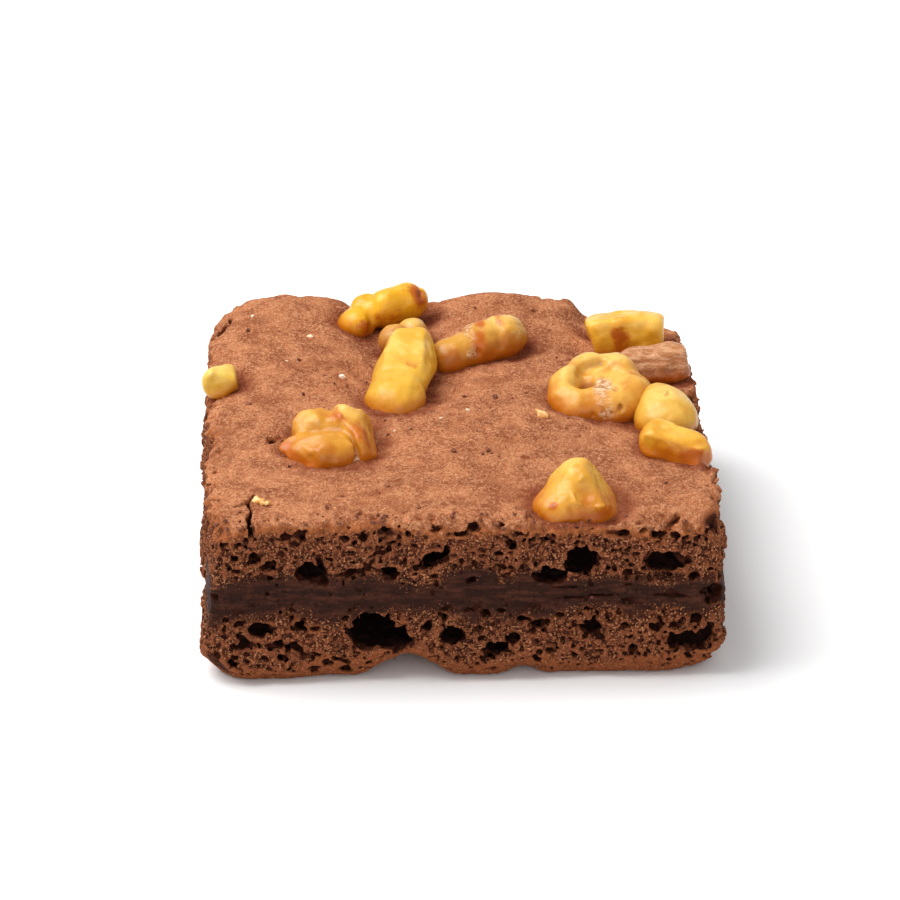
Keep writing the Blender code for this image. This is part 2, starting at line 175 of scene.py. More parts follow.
nut_points = [v.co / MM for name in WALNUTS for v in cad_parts[name].data.vertices]
nut_tree = kdtree.KDTree(len(nut_points))
for i, point in enumerate(nut_points):
    nut_tree.insert(point, i)
nut_tree.balance()
nut_near = np.array([[nut_tree.find((x, y, crust[i, j]))[2] for j, y in enumerate(plan_y)]
                     for i, x in enumerate(plan_x)])
crust -= 0.5 * np.exp(-((nut_near / 1.3) ** 2))

# Hollows beside the long walnut and others: x, y, reach, depth.
HOLLOWS = ((-10.4, 19.0, 2.6, 1.0), (-11.9, 10.1, 2.0, 0.9), (-12.8, 3.2, 1.6, 0.6), (-1.2, 3.4, 2.0, 1.1),
           (0.6, 8.6, 2.0, 1.0), (5.1, 10.4, 1.5, 0.5), (17.0, 17.5, 2.2, 1.0), (18.4, -30.5, 1.5, 0.8))
for x, y, reach, depth in HOLLOWS:
    crust -= depth * np.exp(-((grid_x - x) ** 2 + (grid_y - y) ** 2) / reach**2)

# %% [markdown]
# ## The walls
# A wall is measured all the way round: for each direction and height, how far the wall is from the
# cake's upright middle line. Rays that pass through an opening between two layers, under an arch or over
# the rim find nothing near, and those gaps are bridged from the heights above and below.

# %% Measure the walls all round
TURNS = 640  # directions all round
wall_z = np.arange(0.3, cake_high[2], 0.7)
turn_angle = np.arange(TURNS) * 2 * math.pi / TURNS
cake_tree = tree_of(LAYERS)
wall_reach = np.full((TURNS, len(wall_z)), np.nan)
for i, angle in enumerate(turn_angle):
    out = Vector((math.cos(angle), math.sin(angle), 0.0))
    for k, z in enumerate(wall_z):
        hit = cake_tree.ray_cast(out * 100 + Vector((0, 0, z)), -out)[0]
        if hit:
            wall_reach[i, k] = math.hypot(hit.x, hit.y)
    reach = wall_reach[i]
    reach[reach < np.nanmedian(reach) - 2.5] = np.nan
    sound = ~np.isnan(reach)
    wall_reach[i] = np.interp(wall_z, wall_z[sound], reach[sound])
for _ in range(2):
    wall_reach = (np.roll(wall_reach, 1, 0) + 2 * wall_reach + np.roll(wall_reach, -1, 0)) / 4

middle_reach = wall_reach.mean(axis=1)
slope = (np.roll(middle_reach, -1) - np.roll(middle_reach, 1)) / (2 * 2 * math.pi / TURNS)
squareness = middle_reach / np.hypot(middle_reach, slope)  # turns a radial distance into one across the wall
print("walls from", middle_reach.min().round(1), "to", middle_reach.max().round(1), "mm out")

# %% [markdown]
# ## The block of cells
# The block holds one number in each small cell: how far the cell is outside the cake, negative inside.
# The wall, the crust and the underside each give such a number, and the largest of the three is the
# cake. A smooth maximum, which rounds where two of them meet, gives the soft baked edges.

# %% Fill the block with the cake's plain outer form
CUT_EDGE, BAKED_EDGE = 0.25, 0.9  # how round the edges are where the knife went, and at the back
LIP, LIP_LEFT = 0.22, 0.5  # the tough skin of the underside stands out a little, and more at the left
CELL = 0.2  # the size of a cell
EDGE = 4 * CELL
xs, ys, zs = (np.arange(cake_low[i] - EDGE, cake_high[i] + EDGE, CELL, dtype=np.float32) for i in range(3))
SHAPE = (len(xs), len(ys), len(zs))


def on_grid(values, x=xs, y=ys, outer=True):
    """A plan map read at every x and y (outer), or at pairs of x and y."""
    u = np.clip((x - plan_x[0]) / PLAN_STEP, 0, len(plan_x) - 1.001)
    v = np.clip((y - plan_y[0]) / PLAN_STEP, 0, len(plan_y) - 1.001)
    if outer:
        u, v = u[:, None], v[None, :]
    i, j = u.astype(int), v.astype(int)
    s, t = u - i, v - j
    low = values[i, j] * (1 - s) + values[i + 1, j] * s
    high = values[i, j + 1] * (1 - s) + values[i + 1, j + 1] * s
    return (low * (1 - t) + high * t).astype(np.float32)


def smooth_max(a, b, width):
    """The larger of two fields, blended over width where they are close."""
    close = np.maximum(width - np.abs(a - b), 0.0)
    return np.maximum(a, b) + close * close / (4 * width)


SKIN_IN = 0.2  # the carved surface lies this far inside the frame's, so that loose crumbs can stand out
turn_of = (np.arctan2(ys[None, :], xs[:, None]) / (2 * math.pi) * TURNS) % TURNS
before = turn_of.astype(int) % TURNS
share = (turn_of - turn_of.astype(int)).astype(np.float32)
reach_z = np.stack([np.interp(zs, wall_z, row) for row in wall_reach]).astype(np.float32)
reach_all = reach_z[before] * (1 - share[..., None]) + reach_z[(before + 1) % TURNS] * share[..., None]
radius = np.hypot(xs[:, None], ys[None, :]).astype(np.float32)
across = squareness[before].astype(np.float32)
outside_wall = (radius[..., None] - reach_all) * across[..., None] + SKIN_IN
above_crust = zs[None, None, :] - on_grid(crust)[..., None] + 0.5 * SKIN_IN
below_base = on_grid(underside)[..., None] - zs[None, None, :]
to_back = ease(ys, 0.6 * half_depth, 0.95 * half_depth)[None, :, None].astype(np.float32)
lip = LIP + (LIP_LEFT - LIP) * ease(-xs, 24.0, 32.0)[:, None, None].astype(np.float32)
outside_wall -= lip * np.exp(-(((below_base + 0.7) / 0.6) ** 2))
plain = smooth_max(outside_wall, above_crust, CUT_EDGE + (BAKED_EDGE - CUT_EDGE) * to_back)
plain = smooth_max(plain, below_base, CUT_EDGE)
print("block of", SHAPE, "cells,", round(float((plain < 0).sum()) * CELL**3 / 1000, 1), "cm3 of cake")

# %% [markdown]
# ## Rough crumb
# A knife tears crumb rather than slicing it, so the cut sides are rough, while the fudge cuts smoother
# and the crust is nearly plain. The roughness is noise of three sizes. Each noise is made once for a
# small block that repeats without a seam, which is much faster than working it out for every cell.

# %% Noise blocks
BLOCK = 96  # cells along a noise block


def noise_block(lump, seed):
    """A repeating block of smooth noise with lumps of about this many millimetres, of mean 0 and spread 1."""
    count = max(3, round(BLOCK * CELL / lump))
    values = np.random.default_rng(seed).standard_normal((count,) * 3).astype(np.float32)
    at = np.arange(BLOCK) * count / BLOCK
    low = at.astype(int)
    t = (at - low).astype(np.float32)
    t = t * t * (3 - 2 * t)
    for axis in range(3):
        weight = t.reshape([-1 if i == axis else 1 for i in range(3)])
        here = np.take(values, low % count, axis)
        values = here + weight * (np.take(values, (low + 1) % count, axis) - here)
    return (values - values.mean()) / values.std()


def spread(block, shift=0):
    """A noise block repeated over the whole grid."""
    index = [(np.arange(n) + shift * (i + 1)) % BLOCK for i, n in enumerate(SHAPE)]
    return block[np.ix_(*index)]


coarse = noise_block(2.4, seed=11)
medium = noise_block(1.15, seed=12)
fine = noise_block(0.6, seed=13)

# %% Roughen each kind of surface by its own amount
band_low_here, band_high_here = on_grid(band_low), on_grid(band_high)
wobble = 0.35 * spread(coarse, 7)[:, :, :1]  # the band's edges aren't even
in_band = np.minimum(zs - band_low_here[..., None] + wobble, band_high_here[..., None] - zs + wobble)
in_band = ease(in_band, -0.5, 0.5).astype(np.float32)
on_wall = ease(outside_wall - np.maximum(above_crust, below_base), -0.5, 0.5).astype(np.float32)
at_rim = np.exp(-(outside_wall**2 + above_crust**2) / 1.1**2).astype(np.float32)

WALL_ROUGH = (0.08, 0.11, 0.13)  # coarse, medium and fine, where the crumb is cut
BAND_ROUGH = 0.3  # the share of it on the fudge
CRUST_ROUGH = (0.07, 0.05, 0.025)  # and on the crust and the underside
RIM_ROUGH = (0.16, 0.2)  # medium and fine, more where the crust breaks off at the rim

field = plain.copy()
on_cut = on_wall * (1 - (1 - BAND_ROUGH) * in_band)
for block, cut, baked in zip((coarse, medium, fine), WALL_ROUGH, CRUST_ROUGH):
    field += spread(block) * (cut * on_cut + baked * (1 - on_wall))
field += at_rim * (1 - 0.85 * to_back) * (RIM_ROUGH[0] * spread(medium, 31) + RIM_ROUGH[1] * spread(fine, 17))
print("roughened")

# %% [markdown]
# ## Sponge
# Between the bubbles that can be counted, crumb is a sponge of tiny torn pores with no clear shape. They
# come from noise too: wherever it is high enough, there is a hole. A coarse noise shifts the limit, so
# that open places and closer places take turns, and the fudge stays nearly closed.

# %% Open the sponge near the walls
SPONGE_DEEP = 1.8  # how far in the sponge is carved
sponge = noise_block(0.7, seed=14) + 0.9 * noise_block(0.42, seed=15)
sponge /= sponge.std()
near_wall = (outside_wall > -SPONGE_DEEP) & (on_wall > 0.5)
limit = 1.12 - 0.4 * spread(coarse, 50) + 1.2 * in_band
limit += 0.4 * ease(-below_base, 1.6, 0.6) + 0.8 * ease(-above_crust, 1.5, 0.7)
hole = 0.22 * (spread(sponge, 5) - limit)
field = np.where(near_wall, np.maximum(field, hole), field).astype(np.float32)
del hole, limit
print("sponge opened in", int((near_wall & (field > 0)).sum()), "cells near the walls")

# %% [markdown]
# ## Bubbles
# Baking leaves bubbles everywhere in the crumb: a few as wide as a fingertip's edge, many of one or two
# millimetres, and countless small ones. The largest in the front are listed one by one, since they give this
# cake its face, and the others are scattered with a fixed seed, so the cake comes out the same each time.
# A bubble is a squashed ball with a ragged skin, cut out of the block near one wall. Cutting happens in a
# small window of cells round each bubble, which keeps thousands of them fast.

# %% Find a place on the walls, and its outward direction
mean_wall_x = middle_reach * np.cos(turn_angle)
mean_wall_y = middle_reach * np.sin(turn_angle)
length_step = np.hypot(np.roll(mean_wall_x, -1) - mean_wall_x, np.roll(mean_wall_y, -1) - mean_wall_y)
length_to = np.concatenate([[0.0], np.cumsum(length_step)])  # the way round the cake to each direction
front = (turn_angle > math.radians(226)) & (turn_angle < math.radians(314))


def wall_place(turn, z):
    """The point of the wall in this direction (a fraction of TURNS) and height, and its outward direction."""
    i = int(turn) % TURNS
    j = (i + 1) % TURNS
    part = turn - int(turn)
    reach = np.interp(z, zs, reach_z[i]) * (1 - part) + np.interp(z, zs, reach_z[j]) * part
    angle = turn * 2 * math.pi / TURNS
    along = np.array([mean_wall_x[j] - mean_wall_x[i], mean_wall_y[j] - mean_wall_y[i], 0.0])
    along /= np.linalg.norm(along)
    point = np.array([reach * math.cos(angle), reach * math.sin(angle), z])
    return point, np.array([along[1], -along[0], 0.0])


def front_turn(x):
    """The direction in which the front wall is at x."""
    return float(np.interp(x, mean_wall_x[front], np.flatnonzero(front)))


# %% Cut one hole
RAGGED = 0.75 * noise_block(0.8, seed=21) + 0.6 * noise_block(0.45, seed=22)


def cut_hole(centre, axes, half_size, tilt=0.0, ragged=0.16):
    """Cuts a ragged squashed ball out of the block. The axes run across, up and outwards, half_size has a
    length along each, and tilt in degrees lifts the right end. Its floor is flatter than its roof."""
    size = 1.3 * max(half_size) + CELL
    first = [max(0, int((centre[i] - size - axis[0]) / CELL)) for i, axis in enumerate((xs, ys, zs))]
    last = [int((centre[i] + size - axis[0]) / CELL) + 2 for i, axis in enumerate((xs, ys, zs))]
    window = tuple(slice(a, b) for a, b in zip(first, last))
    dx = (xs[window[0]] - centre[0])[:, None, None]
    dy = (ys[window[1]] - centre[1])[None, :, None]
    dz = (zs[window[2]] - centre[2])[None, None, :]
    across, up, deep = (dx * a[0] + dy * a[1] + dz * a[2] for a in axes)
    c, s = math.cos(math.radians(tilt)), math.sin(math.radians(tilt))
    across, up = across * c + up * s, up * c - across * s
    up = np.where(up < 0, up * 1.25, up * 0.9)
    distance = np.sqrt((across / half_size[0]) ** 2 + (up / half_size[1]) ** 2 + (deep / half_size[2]) ** 2)
    index = [np.arange(sl.start, sl.start + n) % BLOCK for sl, n in zip(window, distance.shape)]
    hole = 1.0 - distance + ragged * RAGGED[np.ix_(*index)]
    field[window] = np.maximum(field[window], hole * min(half_size[:2]))


def cut_bubble(turn, z, width, height, depth, tilt=0.0, sink=0.0, ragged=0.16):
    """Cuts a bubble of this width, height and depth into the wall. Sink moves its middle inwards."""
    point, out = wall_place(turn, z)
    side = np.array([-out[1], out[0], 0.0])
    cut_hole(point - out * sink, (side, (0, 0, 1), out), (width / 2, height / 2, depth), tilt, ragged)


# %% The bubbles that are listed one by one for the front
# Each row: how far right of the middle, height, width, height of the opening, depth, tilt.
FRONT_BUBBLES = (
    # the cave over the arch, and the large openings at the top of the band
    (-10.7, 6.7, 8.0, 5.2, 6.5, -4), (-12.4, 6.2, 3.6, 3.8, 4.0, 0), (-8.0, 5.6, 3.0, 3.6, 4.5, -18),
    (-3.8, 17.0, 4.4, 2.1, 3.6, 18), (-2.1, 18.5, 1.0, 0.9, 1.2, 0), (-9.2, 15.2, 2.5, 2.0, 2.6, 8),
    (10.8, 14.5, 4.6, 2.6, 3.6, 0), (14.6, 16.4, 4.7, 4.4, 4.2, 0), (25.0, 16.1, 5.1, 3.4, 2.8, -6),
    (27.6, 16.4, 1.9, 1.3, 1.2, 0), (28.7, 14.3, 1.5, 1.5, 1.8, 0), (20.5, 14.8, 1.5, 0.9, 1.3, -10),
    (-19.2, 15.4, 4.2, 2.9, 2.8, 8), (-18.1, 17.0, 1.2, 1.4, 1.2, 0), (-17.6, 14.3, 1.8, 1.4, 1.5, -20),
    (-13.9, 15.6, 2.4, 0.8, 1.3, 16), (-12.1, 16.0, 1.8, 1.0, 1.3, 8), (-7.3, 16.8, 1.0, 1.9, 1.1, 0),
    # the upper crumb
    (-28.7, 17.6, 1.2, 1.3, 1.4, 0), (-26.3, 17.3, 2.1, 2.0, 1.9, 0), (-28.5, 15.8, 1.5, 0.8, 1.0, 0),
    (-24.4, 14.7, 1.0, 0.9, 1.2, 0), (-22.2, 20.6, 1.6, 1.1, 1.4, 10), (-20.6, 20.9, 1.4, 2.0, 1.6, -30),
    (-21.1, 19.5, 1.4, 1.1, 1.0, 0), (-17.7, 20.4, 0.9, 0.7, 1.0, 0), (-14.8, 20.3, 1.1, 0.9, 1.0, 0),
    (-12.6, 20.7, 1.9, 1.2, 0.8, 0), (-9.8, 21.1, 2.1, 1.3, 1.5, 0), (-14.0, 18.4, 1.2, 0.9, 1.2, 0),
    (-10.6, 18.1, 3.1, 0.6, 1.1, 8), (-9.3, 18.6, 1.2, 0.8, 1.2, 0), (-6.9, 20.7, 0.9, 0.9, 1.0, 0),
    (-6.3, 18.9, 1.0, 0.9, 1.0, 0), (1.4, 21.3, 1.9, 1.5, 1.6, 0), (-0.4, 20.6, 2.0, 0.7, 1.0, 5),
    (4.6, 21.6, 1.1, 1.0, 1.2, 0), (6.0, 18.8, 1.6, 1.3, 1.4, -25), (4.5, 17.7, 1.3, 0.7, 0.9, 20),
    (14.3, 19.3, 1.6, 0.7, 1.0, 0), (20.2, 20.3, 1.8, 1.0, 1.3, 0), (18.4, 20.6, 1.4, 0.8, 0.8, 0),
    (24.4, 20.0, 2.0, 1.0, 1.3, 10), (26.6, 19.9, 1.3, 0.9, 1.1, 0), (27.2, 21.7, 1.3, 1.1, 1.2, 0),
    (18.9, 18.0, 1.4, 0.8, 1.1, 10), (20.4, 18.1, 1.2, 0.7, 1.0, 0), (-0.3, 16.8, 0.7, 1.0, 0.9, 0),
    # the band, whose right side has split along its layers
    (16.0, 11.6, 7.5, 0.35, 0.9, 2), (26.5, 11.7, 6.0, 0.4, 0.9, -3), (12.5, 13.0, 5.0, 0.3, 0.7, 3),
    (20.6, 13.2, 1.2, 0.6, 0.9, 0), (-21.8, 10.2, 1.3, 0.7, 1.0, -8),
    # the lower crumb
    (-25.6, 7.4, 3.1, 2.0, 2.6, -14), (-20.4, 7.8, 2.0, 1.6, 2.2, -10), (-27.9, 8.6, 1.9, 1.1, 1.2, 20),
    (-18.6, 7.8, 1.3, 0.6, 0.9, 0), (-14.7, 9.0, 1.4, 0.9, 1.1, 0), (-23.0, 5.5, 1.6, 1.1, 1.5, 0),
    (-20.8, 5.2, 1.8, 1.6, 1.8, -20), (-27.7, 5.4, 1.9, 1.0, 1.2, -15), (-22.8, 3.8, 1.9, 1.2, 1.6, 0),
    (-24.6, 3.6, 1.3, 1.0, 1.3, 0), (-18.5, 4.2, 1.4, 0.7, 1.0, -10), (-17.0, 2.8, 1.5, 0.9, 1.0, 0),
    (-18.9, 1.9, 1.6, 0.8, 1.0, 0), (-30.6, 4.1, 1.4, 0.9, 1.0, 0), (-2.1, 10.3, 1.4, 0.9, 1.2, 20),
    (0.7, 9.9, 1.6, 0.7, 1.0, 0), (2.9, 9.2, 1.2, 1.1, 1.2, -15), (4.7, 9.6, 1.1, 0.7, 1.0, 0),
    (7.2, 8.6, 2.1, 1.0, 1.6, 0), (-4.5, 7.9, 1.5, 1.3, 1.6, 0), (-1.3, 6.3, 3.3, 2.9, 2.9, 0),
    (1.8, 7.2, 1.3, 1.1, 1.2, 0), (2.4, 6.0, 1.2, 1.0, 1.2, 0), (4.0, 4.4, 3.3, 2.2, 2.7, 0),
    (5.9, 5.9, 2.1, 1.9, 1.7, 0), (9.7, 7.9, 3.1, 1.3, 1.7, 16), (8.4, 6.9, 1.3, 0.8, 1.1, 0),
    (-0.8, 3.2, 1.0, 1.0, 1.0, 0), (12.0, 9.0, 1.4, 1.0, 1.2, 0), (16.2, 6.9, 2.6, 2.4, 2.2, 0),
    (20.2, 7.3, 1.4, 1.0, 1.2, 0), (23.8, 7.3, 1.9, 2.5, 1.6, -10), (26.2, 7.3, 2.0, 1.3, 1.8, -10),
    (29.1, 8.3, 1.7, 2.0, 1.8, -15), (28.2, 4.9, 5.0, 3.0, 2.2, 0), (26.3, 4.6, 1.7, 3.0, 1.9, 12),
    (30.3, 5.6, 1.7, 3.8, 1.8, 0), (21.0, 4.1, 1.2, 1.7, 1.5, 0), (17.0, 3.6, 1.4, 0.9, 1.2, 0),
    (14.2, 3.2, 1.7, 0.9, 1.2, 0), (13.3, 5.5, 1.0, 0.8, 0.9, 0), (10.8, 4.0, 1.2, 0.7, 0.9, 0),
)
for x, z, width, height, depth, tilt in FRONT_BUBBLES:
    ragged = min(0.2, 0.4 / min(width, height))  # a large bubble has a cleaner edge for its size
    cut_bubble(front_turn(x), z, width, height, depth, tilt, 0.12 * depth, ragged)
print(len(FRONT_BUBBLES), "bubbles placed by hand")

# %% Scatter the other bubbles over all four walls
# Each kind: how many, smallest and largest width, and its share in the front, which has its own already.
BUBBLE_KINDS = ((44, 2.0, 4.4, 0.0), (520, 0.9, 1.9, 0.35), (3400, 0.38, 0.85, 1.0))
LEAST_IN_BAND = 0.06  # few bubbles form in the dense fudge
scatter = np.random.default_rng(5)
girth = length_to[-1]
cut_count = 0
for count, smallest, largest, front_share in BUBBLE_KINDS:
    for _ in range(count):
        turn = float(np.interp(scatter.uniform(0, girth), length_to, np.arange(TURNS + 1)))
        z = scatter.uniform(1.0, cake_high[2] - 3.0)
        width = smallest * (largest / smallest) ** (scatter.random() ** 1.6)
        height = width * scatter.uniform(0.5, 1.0)
        depth = width * scatter.uniform(0.45, 0.95)
        tilt = scatter.uniform(-30, 30)
        chance = scatter.random()
        point, _ = wall_place(turn, z)
        low = on_grid(band_low, point[:1], point[1:2])[0, 0]
        high = on_grid(band_high, point[:1], point[1:2])[0, 0]
        if low - height / 3 < z < high + height / 3 and chance > LEAST_IN_BAND:
            continue
        in_front = abs(point[0]) < half_width - 2 and point[1] < 2 - half_depth
        if in_front and chance > front_share:
            continue
        cut_bubble(turn, z, width, height, depth, tilt, sink=scatter.uniform(0.0, 0.5) * depth, ragged=0.26)
        cut_count += 1
print(cut_count, "bubbles scattered")

# %% [markdown]
# ## Cracks and pits in the crust
# The crust has cracked at its front left, and its back left corner has slumped and split. A crack is a
# line on the plan: every cell near the line and not too deep is opened. A pit is a small bubble that
# looks up.

# %% Crack and pit the crust
# Each crack: its line on the plan, its half width at the start and at the end, and its depth.
CRACKS = (
    (((-26.1, -24.4), (-27.0, -26.4), (-26.5, -28.2), (-26.9, -30.2), (-26.3, -32.6)), 0.2, 0.42, 1.8),
    (((-33.2, -22.2), (-31.6, -23.6), (-30.3, -25.2)), 0.4, 0.15, 1.2),
    (((-27.0, -26.4), (-28.6, -27.4)), 0.16, 0.12, 0.7),
    (((-33.0, 25.2), (-31.4, 27.6), (-28.6, 29.6), (-26.5, 30.6)), 0.5, 0.3, 1.6),
    (((-33.2, 18.6), (-31.2, 20.6), (-29.0, 23.4), (-28.9, 26.0)), 0.45, 0.25, 1.3),
    (((24.6, -33.2), (25.4, -31.2), (27.0, -30.2)), 0.35, 0.18, 0.9),
)
# Each pit: x, y, width, depth.
PITS = ((-23.7, -8.7, 1.9, 0.8), (-23.0, -8.1, 1.2, 0.6), (-12.7, -30.0, 1.5, 0.35), (-8.9, -29.4, 1.3, 0.35),
        (-15.3, 4.6, 1.3, 0.4), (8.4, -16.2, 1.2, 0.3), (3.0, -22.0, 0.7, 0.3), (-20.0, 12.0, 0.7, 0.3),
        (20.0, -8.0, 0.8, 0.3), (-3.5, -19.0, 0.7, 0.3))
plan_points = np.stack(np.meshgrid(xs, ys, indexing="ij"), axis=-1)
for line, start, end, depth in CRACKS:
    line = np.array(line)
    steps = np.linalg.norm(np.diff(line, axis=0), axis=1)
    so_far, whole = 0.0, steps.sum()
    for a, b, length in zip(line[:-1], line[1:], steps):
        along = np.clip((plan_points - a) @ (b - a) / length**2, 0, 1)
        apart = np.linalg.norm(plan_points - a - along[..., None] * (b - a), axis=-1)
        half = start + (end - start) * (so_far + along * length) / whole
        uneven = 0.07 * spread(medium, 3)[:, :, 40]
        near = apart < 1.5
        open_share = (half + uneven - apart)[near][:, None]
        field[near] = np.maximum(field[near], np.minimum(open_share, above_crust[near] + depth))
        so_far += length
for x, y, width, depth in PITS:
    height = float(on_grid(crust, np.array([x]), np.array([y]), outer=False)[0])
    cut_hole((x, y, height), ((1, 0, 0), (0, 1, 0), (0, 0, 1)), (width / 2, 0.4 * width, depth), ragged=0.35)
print(len(CRACKS), "cracks and", len(PITS), "pits")

# %% [markdown]
# ## Loose ends
# Some bubbles lie wholly inside and nobody sees them, and some crumbs now hang in the air, joined to
# nothing. Both would be stray pieces of mesh. Flooding finds them: air that the flood from outside can't
# reach is filled again, and cake that the flood from the core can't reach is taken away.

# %% Keep only the air that opens to the outside, and the cake that holds together
def flood(start, allowed, rounds):
    """The cells of allowed that start reaches in this many steps from cell to cell."""
    reached = start & allowed
    for _ in range(rounds):
        grown = reached.copy()
        for axis in range(3):
            ahead = [slice(None)] * 3
            behind = [slice(None)] * 3
            ahead[axis], behind[axis] = slice(1, None), slice(None, -1)
            grown[tuple(ahead)] |= reached[tuple(behind)]
            grown[tuple(behind)] |= reached[tuple(ahead)]
        grown &= allowed
        if grown.sum() == reached.sum():
            break
        reached = grown
    return reached


air = field > 0
open_air = flood(plain > 1.5 * CELL, air, rounds=60)
field[air & ~open_air] = -0.3 * CELL
solid = field < 0
sound = flood(plain < -9.0, solid, rounds=90)
field[solid & ~sound] = 0.3 * CELL
print("filled", int((air & ~open_air).sum()), "cells and took away", int((solid & ~sound).sum()))

# %% [markdown]
# ## From cells to a mesh
# The cake's skin runs wherever the field changes sign. A surface net puts one corner in each cell that
# the skin passes through, at the mean of the places where it crosses the cell's edges, and joins the
# corners of the four cells round each crossed edge with one face. It is short, and numpy does it all at
# once.

# %% The surface net
CORNERS = [(i, j, k) for i in (0, 1) for j in (0, 1) for k in (0, 1)]
EDGES = [(a, b) for a in range(8) for b in range(a + 1, 8)
         if sum(abs(p - q) for p, q in zip(CORNERS[a], CORNERS[b])) == 1]


def surface_net(values, origin, cell=CELL):
    """The corners, in millimetres, and the four-sided faces of the skin where values change sign."""
    inside = values < 0
    count = np.zeros([n - 1 for n in values.shape], np.uint8)
    for i, j, k in CORNERS:
        count += inside[i:i + count.shape[0], j:j + count.shape[1], k:k + count.shape[2]]
    cells = np.argwhere((count > 0) & (count < 8))
    number = np.full(count.shape, -1, np.int32)
    number[tuple(cells.T)] = np.arange(len(cells))
    corner_values = np.stack([values[tuple((cells + c).T)] for c in CORNERS], axis=1)
    total = np.zeros((len(cells), 3))
    crossings = np.zeros(len(cells))
    for a, b in EDGES:
        fa, fb = corner_values[:, a], corner_values[:, b]
        crossed = (fa < 0) != (fb < 0)
        t = np.where(crossed, fa / np.where(crossed, fa - fb, 1.0), 0.0)[:, None]
        place = np.array(CORNERS[a]) * (1 - t) + np.array(CORNERS[b]) * t
        total += np.where(crossed[:, None], place, 0.0)
        crossings += crossed
    points = (cells + total / crossings[:, None]) * cell + origin

    faces = []
    for axis in range(3):
        one, two = (axis + 1) % 3, (axis + 2) % 3
        step = np.eye(3, dtype=int)
        here, there = [slice(1, -1)] * 3, [slice(1, -1)] * 3
        here[axis], there[axis] = slice(0, -1), slice(1, None)
        leaving = inside[tuple(here)] & ~inside[tuple(there)]
        entering = ~inside[tuple(here)] & inside[tuple(there)]
        shift = np.array([1, 1, 1]) - step[axis]
        for crossed, order in ((leaving, (0, 1, 2, 3)), (entering, (3, 2, 1, 0))):
            at = np.argwhere(crossed) + shift
            ring = [at - step[one] - step[two], at - step[two], at, at - step[one]]
            quad = np.stack([number[tuple(r.T)] for r in ring], axis=1)
            faces.append(quad[:, order])
    return points, np.concatenate(faces)


skin_points, skin_faces = surface_net(field, np.array([xs[0], ys[0], zs[0]]))
skin_points = np.clip(skin_points, cake_low + 0.02, cake_high - 0.02)  # nothing stands out of the frame's box
print("skin of", len(skin_points), "corners and", len(skin_faces), "faces")

# %% [markdown]
# ## Three layers
# The frame has the cake as three layers, so its skin is shared out to three pieces: lower crumb, fudge
# band and upper crumb. The skin is finer than flat stretches such as the crust need, so the Decimate
# modifier thins each piece; it removes corners first where the surface is plain.

# %% Make a mesh piece from part of the skin
MOST_TRIANGLES = 197_000


def new_mesh(name, points, faces):
    """A smooth-shaded mesh from points in millimetres and faces that all have the same number of corners."""
    mesh = bpy.data.meshes.new(name)
    sides = faces.shape[1]
    mesh.vertices.add(len(points))
    mesh.vertices.foreach_set("co", (points * MM).astype(np.float32).ravel())
    mesh.loops.add(faces.size)
    mesh.loops.foreach_set("vertex_index", faces.astype(np.int32).ravel())
    mesh.polygons.add(len(faces))
    mesh.polygons.foreach_set("loop_start", np.arange(0, faces.size, sides, dtype=np.int32))
    mesh.update(calc_edges=True)
    mesh.shade_smooth()
    return mesh


def new_piece(name, mesh, replaced=()):
    """An object that rides on the part's one body and stands for CAD nodes, which are hidden."""
    piece = bpy.data.objects.new(name, mesh)
    bpy.context.scene.collection.objects.link(piece)
    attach(piece, "root")
    if replaced:
        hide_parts(*replaced)
    return piece


def apply_modifiers(piece):
    """Makes the piece's mesh what its modifiers show."""
    bpy.context.view_layer.update()
    shown = piece.evaluated_get(bpy.context.evaluated_depsgraph_get())
    piece.data = bpy.data.meshes.new_from_object(shown)
    piece.modifiers.clear()


def points_of(piece):
    """The corners of a piece's mesh, in millimetres."""
    points = np.zeros(len(piece.data.vertices) * 3, np.float32)
    piece.data.vertices.foreach_get("co", points)
    return points.reshape(-1, 3) / MM


def part_of_skin(chosen):
    """The points and faces of the chosen faces alone."""
    faces = skin_faces[chosen]
    used = np.zeros(len(skin_points), bool)
    used[faces.ravel()] = True
    renumber = np.cumsum(used) - 1
    return skin_points[used], renumber[faces]


# %% Share the skin out to the layers and thin it
middles = skin_points[skin_faces].mean(axis=1)
over_low = middles[:, 2] - on_grid(band_low, middles[:, 0], middles[:, 1], outer=False)
over_high = middles[:, 2] - on_grid(band_high, middles[:, 0], middles[:, 1], outer=False)
shares = {"crumb_lower": over_low < 0, "fudge_band": (over_low >= 0) & (over_high < 0),
          "crumb_upper": over_high >= 0}
cake_pieces = {}
for name, chosen in shares.items():
    piece = new_piece("cake_" + name, new_mesh("cake_" + name, *part_of_skin(chosen)), [name])
    triangles = 2 * len(piece.data.polygons)
    if triangles > MOST_TRIANGLES:
        thin = piece.modifiers.new("thin", "DECIMATE")
        thin.ratio = MOST_TRIANGLES / triangles
        apply_modifiers(piece)
        piece.data.shade_smooth()
    cake_pieces[name] = piece
    kept = sum(len(f.vertices) - 2 for f in piece.data.polygons)
    print(piece.name, triangles, "triangles, thinned to", kept)
